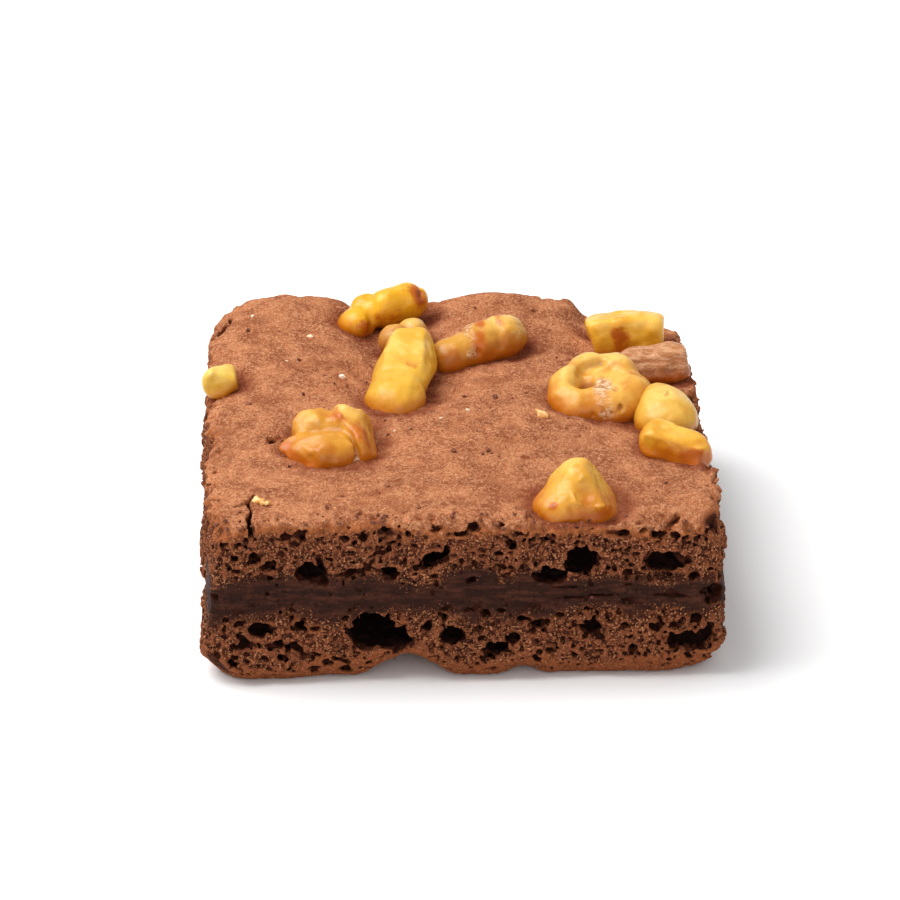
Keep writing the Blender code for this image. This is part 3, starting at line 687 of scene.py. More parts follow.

# %% [markdown]
# ## What the finishes need to know
# The colour of cake depends on where it is. The crust is paler than the crumb and the fudge is dark and
# close, while the mouths of bubbles and their insides get painted shade and torn tips a painted highlight.
# Each corner of the mesh is given these facts as named attributes, read from the block and the maps, and the
# materials use them.

# %% Facts about each corner, kept as attributes
def box_mean(values, reach):
    """The mean of a field over a cube of cells that reaches this many cells each way."""
    for axis in range(3):
        run = np.cumsum(np.concatenate([np.zeros_like(np.take(values, [0], axis)), values], axis), axis,
                        dtype=np.float32)
        n = values.shape[axis]
        high = np.minimum(np.arange(n) + reach + 1, n)
        low = np.maximum(np.arange(n) - reach, 0)
        values = (np.take(run, high, axis) - np.take(run, low, axis)) / (2 * reach + 1)
    return values


def read_block(values, points):
    """A field's value at each point, blended between the eight nearest cells."""
    at = (points - [xs[0], ys[0], zs[0]]) / CELL
    at = np.clip(at, 0, np.array(SHAPE) - 1.001)
    low = at.astype(int)
    t = at - low
    total = np.zeros(len(points))
    for i, j, k in CORNERS:
        weight = np.prod(np.where([i, j, k], t, 1 - t), axis=1)
        total += weight * values[low[:, 0] + i, low[:, 1] + j, low[:, 2] + k]
    return total


def keep_fact(piece, name, values):
    """Stores one number for each corner of the mesh."""
    made = piece.data.attributes.new(name, "FLOAT", "POINT")
    made.data.foreach_set("value", np.asarray(values, np.float32))


cake_here = (field < 0).astype(np.float32)
near_mean = box_mean(cake_here, max(1, round(0.35 / CELL)))
for name, piece in cake_pieces.items():
    at = points_of(piece)
    x, y, z = at.T
    low = on_grid(band_low, x, y, outer=False)
    high = on_grid(band_high, x, y, outer=False)
    keep_fact(piece, "depth", -read_block(plain, at))  # how deep in the cake, in millimetres
    keep_fact(piece, "tip", 0.5 - read_block(near_mean, at))  # over 0 on small tips, under 0 in pits
    keep_fact(piece, "in_band", np.minimum(z - low, high - z))  # millimetres inside the fudge band
    keep_fact(piece, "under_crust", on_grid(crust, x, y, outer=False) - z)
    keep_fact(piece, "over_base", z - on_grid(underside, x, y, outer=False))
    keep_fact(piece, "nut_near", on_grid(nut_near, x, y, outer=False))

# %% [markdown]
# ## Walnut pieces
# A walnut half is a folded kernel. Chopped, it breaks into lobes with rounded backs, creases where the
# folds met, flat waxy breaks, and scraps of pale or brown skin. Each piece is modelled the way the cake
# is, as a field on a small block of cells, so that round lobes can melt together while breaks stay crisp.
# The piece's own frame has X along its length and Z up, in millimetres, and its turn and tilt lay it down.

# %% The lobes and breaks of each walnut
# Lobes are (middle, radii). Breaks are (a point on the flat face, the way it faces).
NUT_FORMS = {
    "back": dict(
        place=(-8.7, 26.0, 23.7), turn=20, tilt=-8, melt=0.6,
        lobes=(((-3.9, -0.2, -0.4), (2.7, 2.5, 2.2)), ((-1.7, 1.5, 0.5), (2.2, 1.8, 2.0)),
               ((0.6, -0.4, 0.6), (3.2, 2.4, 2.6)), ((3.5, -0.2, 0.5), (2.9, 2.6, 2.6)))),
    "under": dict(
        place=(-6.2, 19.4, 23.0), turn=35, tilt=0, melt=0.6,
        lobes=(((-1.2, 0.0, 0.1), (2.4, 2.4, 2.3)), ((1.6, 0.2, 0.3), (2.3, 2.1, 2.0)))),
    "long": dict(
        place=(-6.4, 7.3, 23.9), turn=80, tilt=-13, melt=1.5,
        lobes=(((-5.6, 0.2, -0.4), (4.3, 4.1, 3.3)), ((0.2, 0.1, 0.1), (6.6, 4.1, 3.1)),
               ((5.4, -0.2, 0.2), (3.3, 3.0, 2.6)), ((3.2, -1.9, 0.1), (2.6, 2.1, 2.4))),
        breaks=(((1.0, 0.0, 2.55), (0.05, 0.0, 1.0)), ((2.5, -3.6, 0.0), (0.12, -1.0, 0.5)),
                ((1.0, 3.6, 0.6), (0.1, 1.0, 0.6)), ((7.9, 0.0, 0.0), (1.0, 0.15, 0.4)))),
    "two_lobed": dict(
        place=(3.8, 16.2, 23.2), turn=24, tilt=-6, melt=1.2,
        lobes=(((-3.9, 0.0, -0.2), (3.2, 2.7, 2.6)), ((-0.6, 0.0, 0.1), (3.4, 2.8, 2.8)),
               ((2.9, 0.0, 0.3), (4.1, 3.0, 3.0)))),
    "chunk": dict(
        place=(-16.0, -10.6, 23.0), turn=8, tilt=0, melt=1.1,
        lobes=(((-1.4, -2.9, -0.5), (4.9, 2.8, 2.8)), ((-4.9, -1.2, 0.6), (2.3, 1.4, 1.4)),
               ((-1.9, 2.3, 0.8), (3.0, 2.8, 3.0)), ((2.3, 1.5, 0.9), (3.4, 3.4, 3.3)),
               ((3.2, -1.4, 0.0), (2.7, 3.1, 3.1)), ((0.0, 0.0, -0.6), (4.6, 3.6, 3.0))),
        breaks=(((-3.9, -4.3, 0.0), (-0.75, -0.8, 0.25)), ((1.0, 4.5, 0.0), (0.15, 1.0, 0.5)),
                ((4.9, 0.5, 1.4), (0.9, -0.25, 0.55)), ((1.5, 1.0, 4.05), (0.25, -0.3, 1.0)),
                ((-2.0, 2.0, 3.6), (-0.5, -0.25, 1.0)))),
    "block": dict(
        place=(23.3, 20.2, 22.6), turn=2, tilt=0, melt=1.0, edge=0.9,
        lobes=(((-2.6, 0.0, 0.0), (4.3, 3.6, 4.1)), ((0.0, 0.0, 0.3), (4.2, 3.6, 4.1)),
               ((2.6, 0.0, 0.0), (4.3, 3.6, 4.1))),
        breaks=(((-5.0, 0.0, 0.8), (-1.0, -0.1, -0.3)), ((5.1, 0.0, 0.0), (1.0, -0.1, -0.06)),
                ((-3.0, 0.0, 2.8), (-0.16, 0.25, 1.0)), ((3.5, 0.0, 3.0), (0.14, 0.3, 1.0)),
                ((0.0, -2.8, 0.0), (0.0, -1.0, 0.15)))),
    "curl": dict(
        place=(18.8, 1.2, 23.2), turn=14, tilt=0, melt=1.4,
        lobes=(((-4.8, -0.6, 0.2), (2.3, 2.6, 2.4)), ((-3.6, 2.1, 0.7), (2.6, 2.4, 2.6)),
               ((-0.4, 4.1, 1.0), (3.0, 2.5, 2.8)), ((-3.1, -2.7, -0.2), (2.9, 2.3, 2.4)),
               ((3.1, 2.4, 0.9), (3.0, 3.2, 3.1)), ((3.7, -1.8, 0.3), (3.0, 3.4, 3.1)),
               ((0.8, -3.6, -0.2), (3.4, 2.8, 2.8)), ((0.4, 0.4, -0.3), (4.4, 4.2, 3.1)),
               ((1.5, 3.5, 1.1), (2.6, 2.4, 2.9)))),
    "brown": dict(
        place=(26.7, 10.3, 23.1), turn=8, tilt=-4, melt=1.0, edge=0.45,
        lobes=(((-2.4, 0.0, 0.2), (3.2, 2.6, 2.6)), ((1.8, 0.0, 0.0), (3.8, 2.8, 2.8))),
        breaks=(((4.3, 0.0, 0.0), (1.0, -0.1, 0.1)), ((0.0, -0.8, 2.2), (0.0, -0.3, 1.0)),
                ((0.0, -2.3, 0.4), (0.0, -1.0, 0.5)))),
    "smooth": dict(
        place=(26.9, -3.9, 22.8), turn=96, tilt=-6, melt=1.4,
        lobes=(((-1.5, 0.0, 0.0), (3.4, 4.0, 3.0)), ((0.5, 0.1, 0.1), (3.6, 3.5, 2.9)),
               ((2.1, 0.2, 0.2), (3.1, 2.8, 2.7)))),
    "edge": dict(
        place=(27.8, -13.5, 22.7), turn=-24, tilt=10, melt=1.0,
        lobes=(((-2.2, 0.4, 0.2), (3.0, 2.9, 2.7)), ((1.0, 0.4, 0.2), (3.2, 2.8, 2.6)),
               ((2.7, -0.2, -0.1), (2.1, 2.5, 2.4))),
        breaks=(((0.0, -1.9, 0.0), (0.1, -1.0, 0.3)), ((-1.0, 0.0, 2.25), (0.05, -0.12, 1.0)),
                ((4.3, 0.0, 0.0), (1.0, -0.3, 0.1)))),
    "peak": dict(
        place=(14.2, -26.8, 22.8), turn=-4, tilt=0, melt=1.2, edge=0.45,
        lobes=(((-1.4, -0.8, -0.7), (3.9, 3.8, 3.0)), ((2.2, -0.4, -0.6), (3.4, 3.6, 3.0)),
               ((0.3, 0.9, 1.9), (3.9, 2.7, 3.3))),
        breaks=(((1.3, 0.0, 4.5), (0.8, -0.05, 0.6)), ((-0.4, 0.0, 4.5), (-0.66, -0.1, 0.75)),
                ((0.5, 0.0, 4.6), (0.0, -0.1, 1.0)), ((0.2, -2.4, 3.1), (0.1, -0.9, 0.8)))),
    "crumb": dict(
        place=(-29.9, 7.0, 23.1), turn=20, tilt=0, melt=0.8,
        lobes=(((-0.8, 0.0, 0.1), (2.0, 2.2, 2.2)), ((1.1, 0.3, 0.3), (1.7, 1.8, 1.9))),
        breaks=(((0.0, 0.0, 1.8), (0.35, -0.25, 1.0)), ((0.0, -1.5, 0.0), (-0.3, -1.0, 0.3)),
                ((1.9, 0.0, 0.0), (1.0, -0.3, 0.2)))),
}

# %% The creases, ridges and dents of each walnut
# A mark is (line, width, height), and it stands out by its height, or goes in if that is negative.
NUT_MARKS = {
    "back": ((((-2.9, -2.5, -1.4), (-2.2, -1.9, 1.2), (-1.4, -0.4, 2.8), (-1.4, 1.4, 2.8)), 0.45, -0.9),
             (((5.0, -1.8, 1.6), (5.4, 0.4, 2.2)), 0.4, -0.5), (((0.0, -1.2, 3.0),
              (3.4, -0.8, 3.1)), 0.9, 0.2)),
    "under": ((((0.0, -2.2, 0.4), (0.3, -1.0, 2.0), (0.2, 1.0, 2.0)), 0.4, -0.5),),
    "long": ((((-3.0, 3.6, 1.2), (-2.5, 1.2, 2.7), (-2.7, -1.6, 2.6), (-3.4, -3.6, 0.8)), 0.7, -0.25),
             (((0.2, -0.9, 2.6),), 1.5, -0.3), (((-3.4, -3.6, -0.4),), 0.9, -0.3),
             (((4.4, -2.9, 1.3), (3.2, -3.3, 0.8)), 0.5, 0.35), (((2.6, 0.3, 2.6),), 0.22, -0.3),
             (((2.0, 0.9, 2.6),), 0.2, -0.25), (((-6.5, 1.6, 2.4),), 0.25, -0.2),
              (((4.4, 0.6, 2.5),), 0.25, -0.2)),
    "two_lobed": ((((-1.3, 2.4, 1.2), (-1.7, 0.0, 2.8), (-1.3, -2.6, 0.6)), 0.5, -0.35),
                  (((-0.6, 1.5, 2.4), (-0.8, -1.0, 2.7), (-0.6, -2.7, 0.8)), 0.4, 0.2),
                  (((2.2, 1.5, 2.9), (2.5, -1.0, 2.9), (1.9, -2.8, 0.8)), 0.6, -0.3),
                  (((3.6, -1.4, 2.6), (5.6, -1.2, 1.8)), 0.5, -0.25)),
    "chunk": ((((-2.8, -0.3, 2.4), (-0.9, -0.6, 2.6), (0.5, -0.9, 2.6)), 0.9, -0.7),
              (((0.5, -1.0, 3.0), (1.9, -2.6, 2.2), (2.5, -4.2, 0.6), (2.5, -5.0, -1.0)), 0.4, -0.7),
              (((-5.4, -1.7, 1.6), (-3.2, -2.0, 2.1), (-0.4, -2.2, 2.3), (1.0, -2.6, 2.0)), 0.42, 0.45),
              (((0.2, 3.8, 2.6), (0.4, 2.0, 3.4), (0.4, 0.6, 3.2)), 0.4, -0.12),
              (((0.9, 2.6, 4.0), (2.2, 1.4, 4.2), (3.9, 0.6, 3.7)), 0.45, 0.35),
              (((-4.6, 2.4, 2.6), (-2.6, 3.6, 3.2), (-0.9, 3.0, 3.2)), 0.5, 0.3),
              (((-4.4, -3.4, 1.0), (-3.4, -4.2, 0.4)), 0.4, -0.35), (((1.6, -0.2, 3.6),
               (3.6, -1.2, 2.8)), 0.35, -0.3)),
    "block": ((((0.3, -3.2, -1.2), (-0.3, -3.0, 0.9)), 1.1, -0.5), (((1.7, -3.1, -0.9),
              (2.2, -3.0, -0.4)), 0.35, 0.3),
              (((-2.0, -1.0, 3.2), (2.5, -1.2, 3.3)), 1.2, -0.2)),
    "curl": ((((-2.0, -0.5, 2.6), (-1.8, -0.6, 1.4)), 0.9, -1.9),
             (((-1.7, -0.2, 2.4), (-2.3, 1.3, 2.8), (-0.8, 2.5, 3.2), (0.9, 2.5, 3.4)), 0.6, -0.85),
             (((-1.3, -0.9, 2.2), (0.2, -1.7, 2.6), (1.1, -3.6, 2.3), (1.0, -5.8, 0.8)), 0.42, -0.65),
             (((0.4, 4.0, 3.8), (-2.2, 3.2, 3.4), (-4.5, 1.2, 2.9), (-4.9, -0.8, 2.5), (-3.4, -2.6, 2.1),
               (-1.2, -2.6, 2.2)), 0.8, 0.35),
             (((-0.2, -2.6, 2.4), (-0.9, -4.4, 1.6), (-1.2, -5.8, 0.2)), 0.28, -0.24),
             (((0.2, -3.0, 2.5), (-0.1, -4.8, 1.8), (-0.2, -6.2, 0.2)), 0.28, -0.24),
             (((-0.8, -2.4, 2.3), (-1.9, -4.0, 1.4), (-2.4, -5.0, 0.0)), 0.28, -0.24),
             (((1.8, 0.6, 3.6), (3.0, -0.6, 3.6), (3.2, -2.6, 3.3)), 0.45, -0.45),
             (((1.2, 0.4, 2.0), (0.4, 1.0, 2.2)), 0.4, 0.4)),
    "brown": ((((-5.0, -1.7, 1.3), (0.0, -1.9, 1.5), (5.0, -1.8, 1.3)), 0.35, -0.4),
              (((-5.0, -2.6, 0.0), (0.0, -2.8, 0.1), (5.0, -2.7, 0.0)), 0.35, -0.45),
              (((-4.0, -0.6, 2.4), (0.0, -0.9, 2.6), (4.0, -0.8, 2.3)), 0.4, 0.25),
              (((-3.0, 0.6, 2.8), (3.5, 0.5, 2.8)), 0.4, -0.3)),
    "smooth": ((((-0.3, -0.4, 3.0), (0.5, -0.6, 3.1)), 0.22, -0.5), (((-2.6, 1.6, 2.4),
               (-3.4, 0.2, 2.0)), 0.7, -0.15)),
    "edge": ((((-3.4, -2.3, 0.3), (-1.0, -2.5, 0.0), (1.8, -2.5, 0.0)), 0.8, -0.55),
             (((-4.0, -1.9, 1.7), (0.0, -2.2, 1.8), (3.0, -2.2, 1.4)), 0.4, 0.3),
              (((2.8, -2.4, -0.6),), 0.7, 0.4)),
    "peak": ((((0.9, -1.6, 3.9), (-0.5, -2.6, 2.9), (0.1, -3.7, 1.5), (2.0, -4.1, 0.8),
             (4.6, -3.0, 0.9)), 0.3, 0.4),
             (((2.0, -4.2, -0.5), (4.6, -3.0, -0.5)), 0.9, -0.8), (((1.5, -2.9, 2.3),), 0.8, -0.45),
             (((-2.8, -3.0, 1.5),), 0.8, -0.35), (((-0.4, -4.2, 0.8), (0.1, -4.6, -1.2)), 0.3, -0.4),
             (((-2.2, -2.6, 2.4), (-0.9, -2.7, 2.6)), 0.3, -0.25), (((-3.6, -3.4, 0.4),
              (-1.4, -4.0, 0.6)), 0.3, 0.2)),
    "crumb": ((((-0.6, -1.4, 1.6), (0.9, -1.2, 1.5)), 0.5, -0.35), (((-1.4, -1.9, 0.4),), 0.5, -0.3)),
}
LUMP, LUMP_HEIGHT = 2.6, 0.08  # the kernel's uneven growth
FINE_LUMP, FINE_HEIGHT = 0.75, 0.018

# %% Noise and distances at any points
def point_noise(points, lump, seed):
    """Smooth noise of spread 1 at any points, with lumps of about this size in millimetres."""
    table = np.random.default_rng(seed).standard_normal((32, 32, 32)) * 1.9
    at = points / np.asarray(lump)
    low = np.floor(at).astype(int)
    t = at - low
    t = t * t * (3 - 2 * t)
    total = np.zeros(len(points))
    for i, j, k in CORNERS:
        weight = np.prod(np.where([i, j, k], t, 1 - t), axis=1)
        total += weight * table[(low[:, 0] + i) % 32, (low[:, 1] + j) % 32, (low[:, 2] + k) % 32]
    return total


def distance_to_line(points, line):
    """How far each point is from a line of straight stretches."""
    line = np.asarray(line, float)
    nearest = np.linalg.norm(points - line[0], axis=1)
    for a, b in zip(line[:-1], line[1:]):
        along = np.clip((points - a) @ (b - a) / max((b - a) @ (b - a), 1e-9), 0, 1)
        nearest = np.minimum(nearest, np.linalg.norm(points - a - along[:, None] * (b - a), axis=1))
    return nearest


# %% Where each walnut is toasted and where it has skin
# A patch is (line, width, share): the share of the other colour along the line.
NUT_TOAST = {
    "back": ((((0.38, 0.0, 0.35), (0.55, 0.0, 0.45), (0.8, 0.0, 0.55)), 1.9, 0.95),
             (((0.9, 0.5, 0.9), (0.98, 0.3, 0.6)), 1.4, 1.0), (((0.3, 0.3, 0.8),), 0.6, 0.6)),
    "under": ((((0.2, 0.2, 0.5), (0.8, 0.1, 0.6)), 1.2, 0.4),),
    "long": ((((0.55, 0.5, 1.0), (0.72, 0.4, 0.95)), 1.3, 0.85), (((0.9, 0.7, 0.7),), 0.8, 0.25)),
    "two_lobed": ((((0.5, 0.9, 0.8), (0.52, 0.4, 1.0), (0.5, 0.0, 0.4)), 1.0, 0.7),
                  (((0.7, 0.8, 0.9), (0.72, 0.4, 1.0)), 0.7, 0.5), (((0.3, 0.0, 0.15),
                   (0.8, 0.0, 0.2)), 0.8, 0.5)),
    "chunk": ((((0.06, 0.4, 0.6), (0.12, 0.2, 0.4), (0.3, 0.1, 0.35)), 1.2, 0.6),
              (((0.52, 0.62, 1.0), (0.72, 0.42, 1.0), (0.9, 0.35, 0.7)), 1.5, 0.8), (((0.2, 0.05, 0.0),
               (0.7, 0.0, 0.05)), 1.0, 0.4)),
    "block": ((((0.42, 0.0, 0.7), (0.5, 0.0, 0.2)), 1.3, 0.75), (((0.4, 0.3, 1.0),
              (0.5, 0.2, 1.0)), 1.0, 0.4)),
    "curl": ((((0.38, 0.48, 0.9),), 0.9, 0.95), (((0.8, 0.5, 0.9), (0.85, 0.3, 0.6)), 1.2, 0.5),
             (((0.2, 0.2, 0.3), (0.45, 0.05, 0.25), (0.7, 0.05, 0.3)), 0.9, 0.6),
              (((0.62, 0.6, 1.0),), 0.8, 0.6)),
    "brown": ((((0.0, 0.1, 0.3), (1.0, 0.1, 0.3)), 1.4, 0.6),),
    "smooth": ((((0.5, 0.4, 1.0),), 0.5, 0.6), (((0.1, 0.3, 0.1), (0.4, 0.0, 0.1)), 0.8, 0.3)),
    "edge": ((((0.1, 0.1, 0.6), (0.5, 0.0, 0.6), (0.9, 0.0, 0.5)), 1.5, 0.95),),
    "peak": ((((0.15, 0.1, 0.3), (0.3, 0.05, 0.1)), 1.3, 0.35), (((0.62, 0.1, 0.65),), 0.8, 0.9),
             (((0.22, 0.1, 0.55),), 0.7, 0.9), (((0.62, 0.0, 0.3), (0.95, 0.1, 0.35)), 1.5, 0.9)),
    "crumb": (),
}
NUT_SKIN = {
    "under": ((((0.2, 0.2, 0.8), (0.6, 0.1, 0.8)), 1.0, 0.5),),
    "two_lobed": ((((0.4, 0.6, 0.9), (0.42, 0.1, 0.5)), 1.0, 0.6), (((0.9, 0.4, 0.8),), 1.5, 0.5)),
    "chunk": ((((0.25, 0.5, 0.85), (0.5, 0.5, 0.9)), 1.1, 1.0), (((0.75, 0.2, 0.5),
              (0.82, 0.05, 0.1)), 0.5, 1.0),
              (((0.1, 0.75, 0.9), (0.5, 0.8, 1.0)), 0.8, 0.4)),
    "block": ((((0.62, 0.0, 0.5),), 0.8, 0.5),),
    "curl": ((((0.5, 0.35, 0.8), (0.55, 0.1, 0.5)), 1.6, 1.0), (((0.62, 0.9, 1.0),
             (0.8, 0.8, 1.0)), 1.2, 0.6)),
    "brown": ((((0.0, 0.5, 0.9), (1.0, 0.5, 0.9)), 4.0, 0.95),),
    "peak": ((((0.3, 0.1, 0.62), (0.42, 0.12, 0.66)), 0.5, 0.3), (((0.4, 0.0, 0.4),
             (0.46, 0.0, 0.1)), 0.4, 0.4)),
}


def patches_on(points, low, high, patches):
    """The share of the other colour at each point, from 0 to 1."""
    share = np.zeros(len(points))
    for line, width, amount in patches:
        near = distance_to_line(points, low + np.array(line) * (high - low))
        share = np.maximum(share, amount * np.exp(-((near / width) ** 2)))
    return share

# %% Model the walnuts
NUT_CELL = 0.2


def smooth_join(a, b, width):
    """Two fields' cake or kernel together, with the corner between them filled."""
    return -smooth_max(-a, -b, width)


def nut_field(form, marks, at, seed):
    """How far each point, in the piece's own frame, is outside the kernel, and how creased it is there."""
    kernel = None
    for middle, radii in form["lobes"]:
        scaled = np.linalg.norm((at - middle) / radii, axis=1)
        steepness = np.linalg.norm((at - middle) / np.square(radii), axis=1)
        lobe = scaled * (scaled - 1) / np.maximum(steepness, 1e-6)
        kernel = lobe if kernel is None else smooth_join(kernel, lobe, form["melt"])
    crease = np.zeros(len(at))
    for line, width, height in marks:
        crease += height * np.exp(-((distance_to_line(at, line) / width) ** 2))
    kernel -= crease + LUMP_HEIGHT * point_noise(at + 40, LUMP, seed)
    for point, way in form.get("breaks", ()):
        way = np.array(way) / np.linalg.norm(way)
        flat = (at - point) @ way - 0.5 * crease + 0.06 * point_noise(at + 40, 1.4, seed + 20)
        kernel = smooth_max(kernel, flat, form.get("edge", 0.35))
    return kernel - FINE_HEIGHT * point_noise(at + 40, FINE_LUMP, seed + 50), crease


nut_pieces = {}
for number, (short, form) in enumerate(NUT_FORMS.items()):
    lobes = np.array(form["lobes"])
    lowest = (lobes[:, 0] - lobes[:, 1]).min(axis=0) - 0.8
    highest = (lobes[:, 0] + lobes[:, 1]).max(axis=0) + 0.8
    axes = [np.arange(a, b, NUT_CELL) for a, b in zip(lowest, highest)]
    block = np.stack(np.meshgrid(*axes, indexing="ij"), axis=-1)
    marks = NUT_MARKS[short]
    values, _ = nut_field(form, marks, block.reshape(-1, 3), number)
    own, faces = surface_net(values.reshape(block.shape[:3]), lowest, NUT_CELL)
    _, crease = nut_field(form, marks, own, number)
    lay = (Matrix.Rotation(math.radians(form["turn"]), 3, "Z")
           @ Matrix.Rotation(math.radians(form["tilt"]), 3, "Y"))
    placed = own @ np.array(lay).T + form["place"]
    placed = np.clip(placed, cad_low / MM + 0.02, cad_high / MM - 0.02)
    piece = new_piece("nut_" + short, new_mesh("nut_" + short, placed, faces), ["walnut_" + short])
    low, high = placed.min(axis=0), placed.max(axis=0)
    keep_fact(piece, "crease", crease)
    keep_fact(piece, "toast", patches_on(placed, low, high, NUT_TOAST.get(short, ())))
    keep_fact(piece, "skin", patches_on(placed, low, high, NUT_SKIN.get(short, ())))
    keep_fact(piece, "stands_out", placed[:, 2] - on_grid(crust, placed[:, 0], placed[:, 1], outer=False))
    keep_fact(piece, "height_share", (placed[:, 2] - low[2]) / (high[2] - low[2]))
    nut_pieces[short] = piece
print(len(nut_pieces), "walnuts,", sum(2 * len(p.data.polygons) for p in nut_pieces.values()), "triangles")

# %% [markdown]
# ## Node helpers
# Materials are small networks of nodes. A few helpers keep them readable: each adds one node, sets or
# links its inputs, and gives back its output. Patterns use Object coordinates, which are metres on the
# object itself, so a grain has the same size on every piece and stays put as the camera moves.

# %% Helpers that add one node each
def add_node(tree, kind, inputs=(), **settings):
    """Adds a node. Inputs maps a socket's name or number to a value or to an output to link."""
    made = tree.nodes.new(kind)
    for name, value in settings.items():
        setattr(made, name, value)
    for name, value in dict(inputs).items():
        if isinstance(value, bpy.types.NodeSocket):
            tree.links.new(value, made.inputs[name])
        else:
            made.inputs[name].default_value = value
    return made


def colour(red, green, blue):
    """A colour from its 0 to 255 values, as the linear light that Blender works in."""
    return (*[c / 12.92 if c <= 0.04045 else ((c + 0.055) / 1.055) ** 2.4
              for c in (red / 255, green / 255, blue / 255)], 1.0)


def object_place(tree):
    return add_node(tree, "ShaderNodeTexCoord").outputs["Object"]


def pattern(tree, place, size, detail=2.0, rough=0.5, stretch=(1, 1, 1)):
    """Cloudy noise between 0 and 1 whose patches are about this many millimetres across."""
    if stretch != (1, 1, 1):
        place = add_node(tree, "ShaderNodeMapping", {"Vector": place, "Scale": stretch}).outputs[0]
    return add_node(tree, "ShaderNodeTexNoise", {"Vector": place, "Scale": 1 / (size * MM), "Detail": detail,
                                                 "Roughness": rough}).outputs["Fac"]


def between(tree, value, start, end, low=0.0, high=1.0):
    """Low where value is at start or before, high at end or after, and an even rise between."""
    return add_node(tree, "ShaderNodeMapRange", {"Value": value, "From Min": start, "From Max": end,
                                                 "To Min": low, "To Max": high},
                    interpolation_type="SMOOTHSTEP").outputs["Result"]


def sums(tree, operation, a, b):
    return add_node(tree, "ShaderNodeMath", {0: a, 1: b}, operation=operation).outputs[0]


def blend(tree, share, a, b, way="MIX"):
    """Colour a, turned into colour b by this share."""
    made = add_node(tree, "ShaderNodeMix", data_type="RGBA", blend_type=way)
    for socket, value in ((0, share), (6, a), (7, b)):  # the Mix node's sockets for colours
        if isinstance(value, bpy.types.NodeSocket):
            tree.links.new(value, made.inputs[socket])
        else:
            made.inputs[socket].default_value = value
    return made.outputs[2]


def tint(tree, under, over, mask, low, high, share=1.0):
    """The colour under, covered by the colour over as the mask goes from low to high."""
    return blend(tree, between(tree, mask, low, high, 0.0, share), under, over)


def fact(tree, name):
    return add_node(tree, "ShaderNodeAttribute", attribute_name=name).outputs["Fac"]


def new_group(name, inputs, outputs):
    """An empty node group with named sockets: its tree, its inputs and its output node."""
    tree = bpy.data.node_groups.new(name, "ShaderNodeTree")
    for label, kind, value in inputs:
        socket = tree.interface.new_socket(label, in_out="INPUT", socket_type=kind)
        socket.default_value = value
    for label, kind in outputs:
        tree.interface.new_socket(label, in_out="OUTPUT", socket_type=kind)
    return tree, tree.nodes.new("NodeGroupInput").outputs, tree.nodes.new("NodeGroupOutput").inputs


NUMBER, COLOUR = "NodeSocketFloat", "NodeSocketColor"

# %% [markdown]
# ## The finish of cake
# One node group colours all three layers, so the crumb and the fudge blend across their border the way
# they do in a real cut. It starts from plain crumb and lays one thing over another: a painted highlight on
# torn tips, painted shade in pits and bubbles, the fudge with its smeared streaks, the baked skin underneath,
# and last the crust with its pale grain, its few red-brown spots, painted shade in its hollows and a darker
# ring of painted shade where it touches a nut.

# %% The cake's colours
CRUMB = colour(94, 47, 30)
CRUMB_LIGHT = colour(144, 82, 52)
CRUMB_DEEP = colour(52, 24, 16)
CRUMB_SPECK = colour(202, 138, 96)
# painted shade: the colours of pits and of the insides of bubbles and pores
PIT_SHADE = colour(58, 24, 15)
BUBBLE_SHADE = colour(22, 8, 6)
FUDGE = colour(43, 20, 13)
FUDGE_STREAK = colour(74, 39, 26)
CRUST = colour(185, 119, 80)
CRUST_PALE = colour(210, 150, 110)
CRUST_DEEP = colour(136, 76, 48)
# red-brown spots, also used as painted shade in hollows and round the nuts
CRUST_SPOT_AND_SHADE = colour(112, 46, 26)
RIM = colour(176, 102, 58)
BASE = colour(152, 84, 48)

# %% The node group that finishes cake
cake_tree_nodes, given, result = new_group(
    "cake_finish",
    [(name, NUMBER, 0.0) for name in ("Depth", "Tip", "In Band", "Under Crust", "Over Base", "Nut Near")],
    [("Colour", COLOUR), ("Roughness", NUMBER), ("Height", NUMBER)])


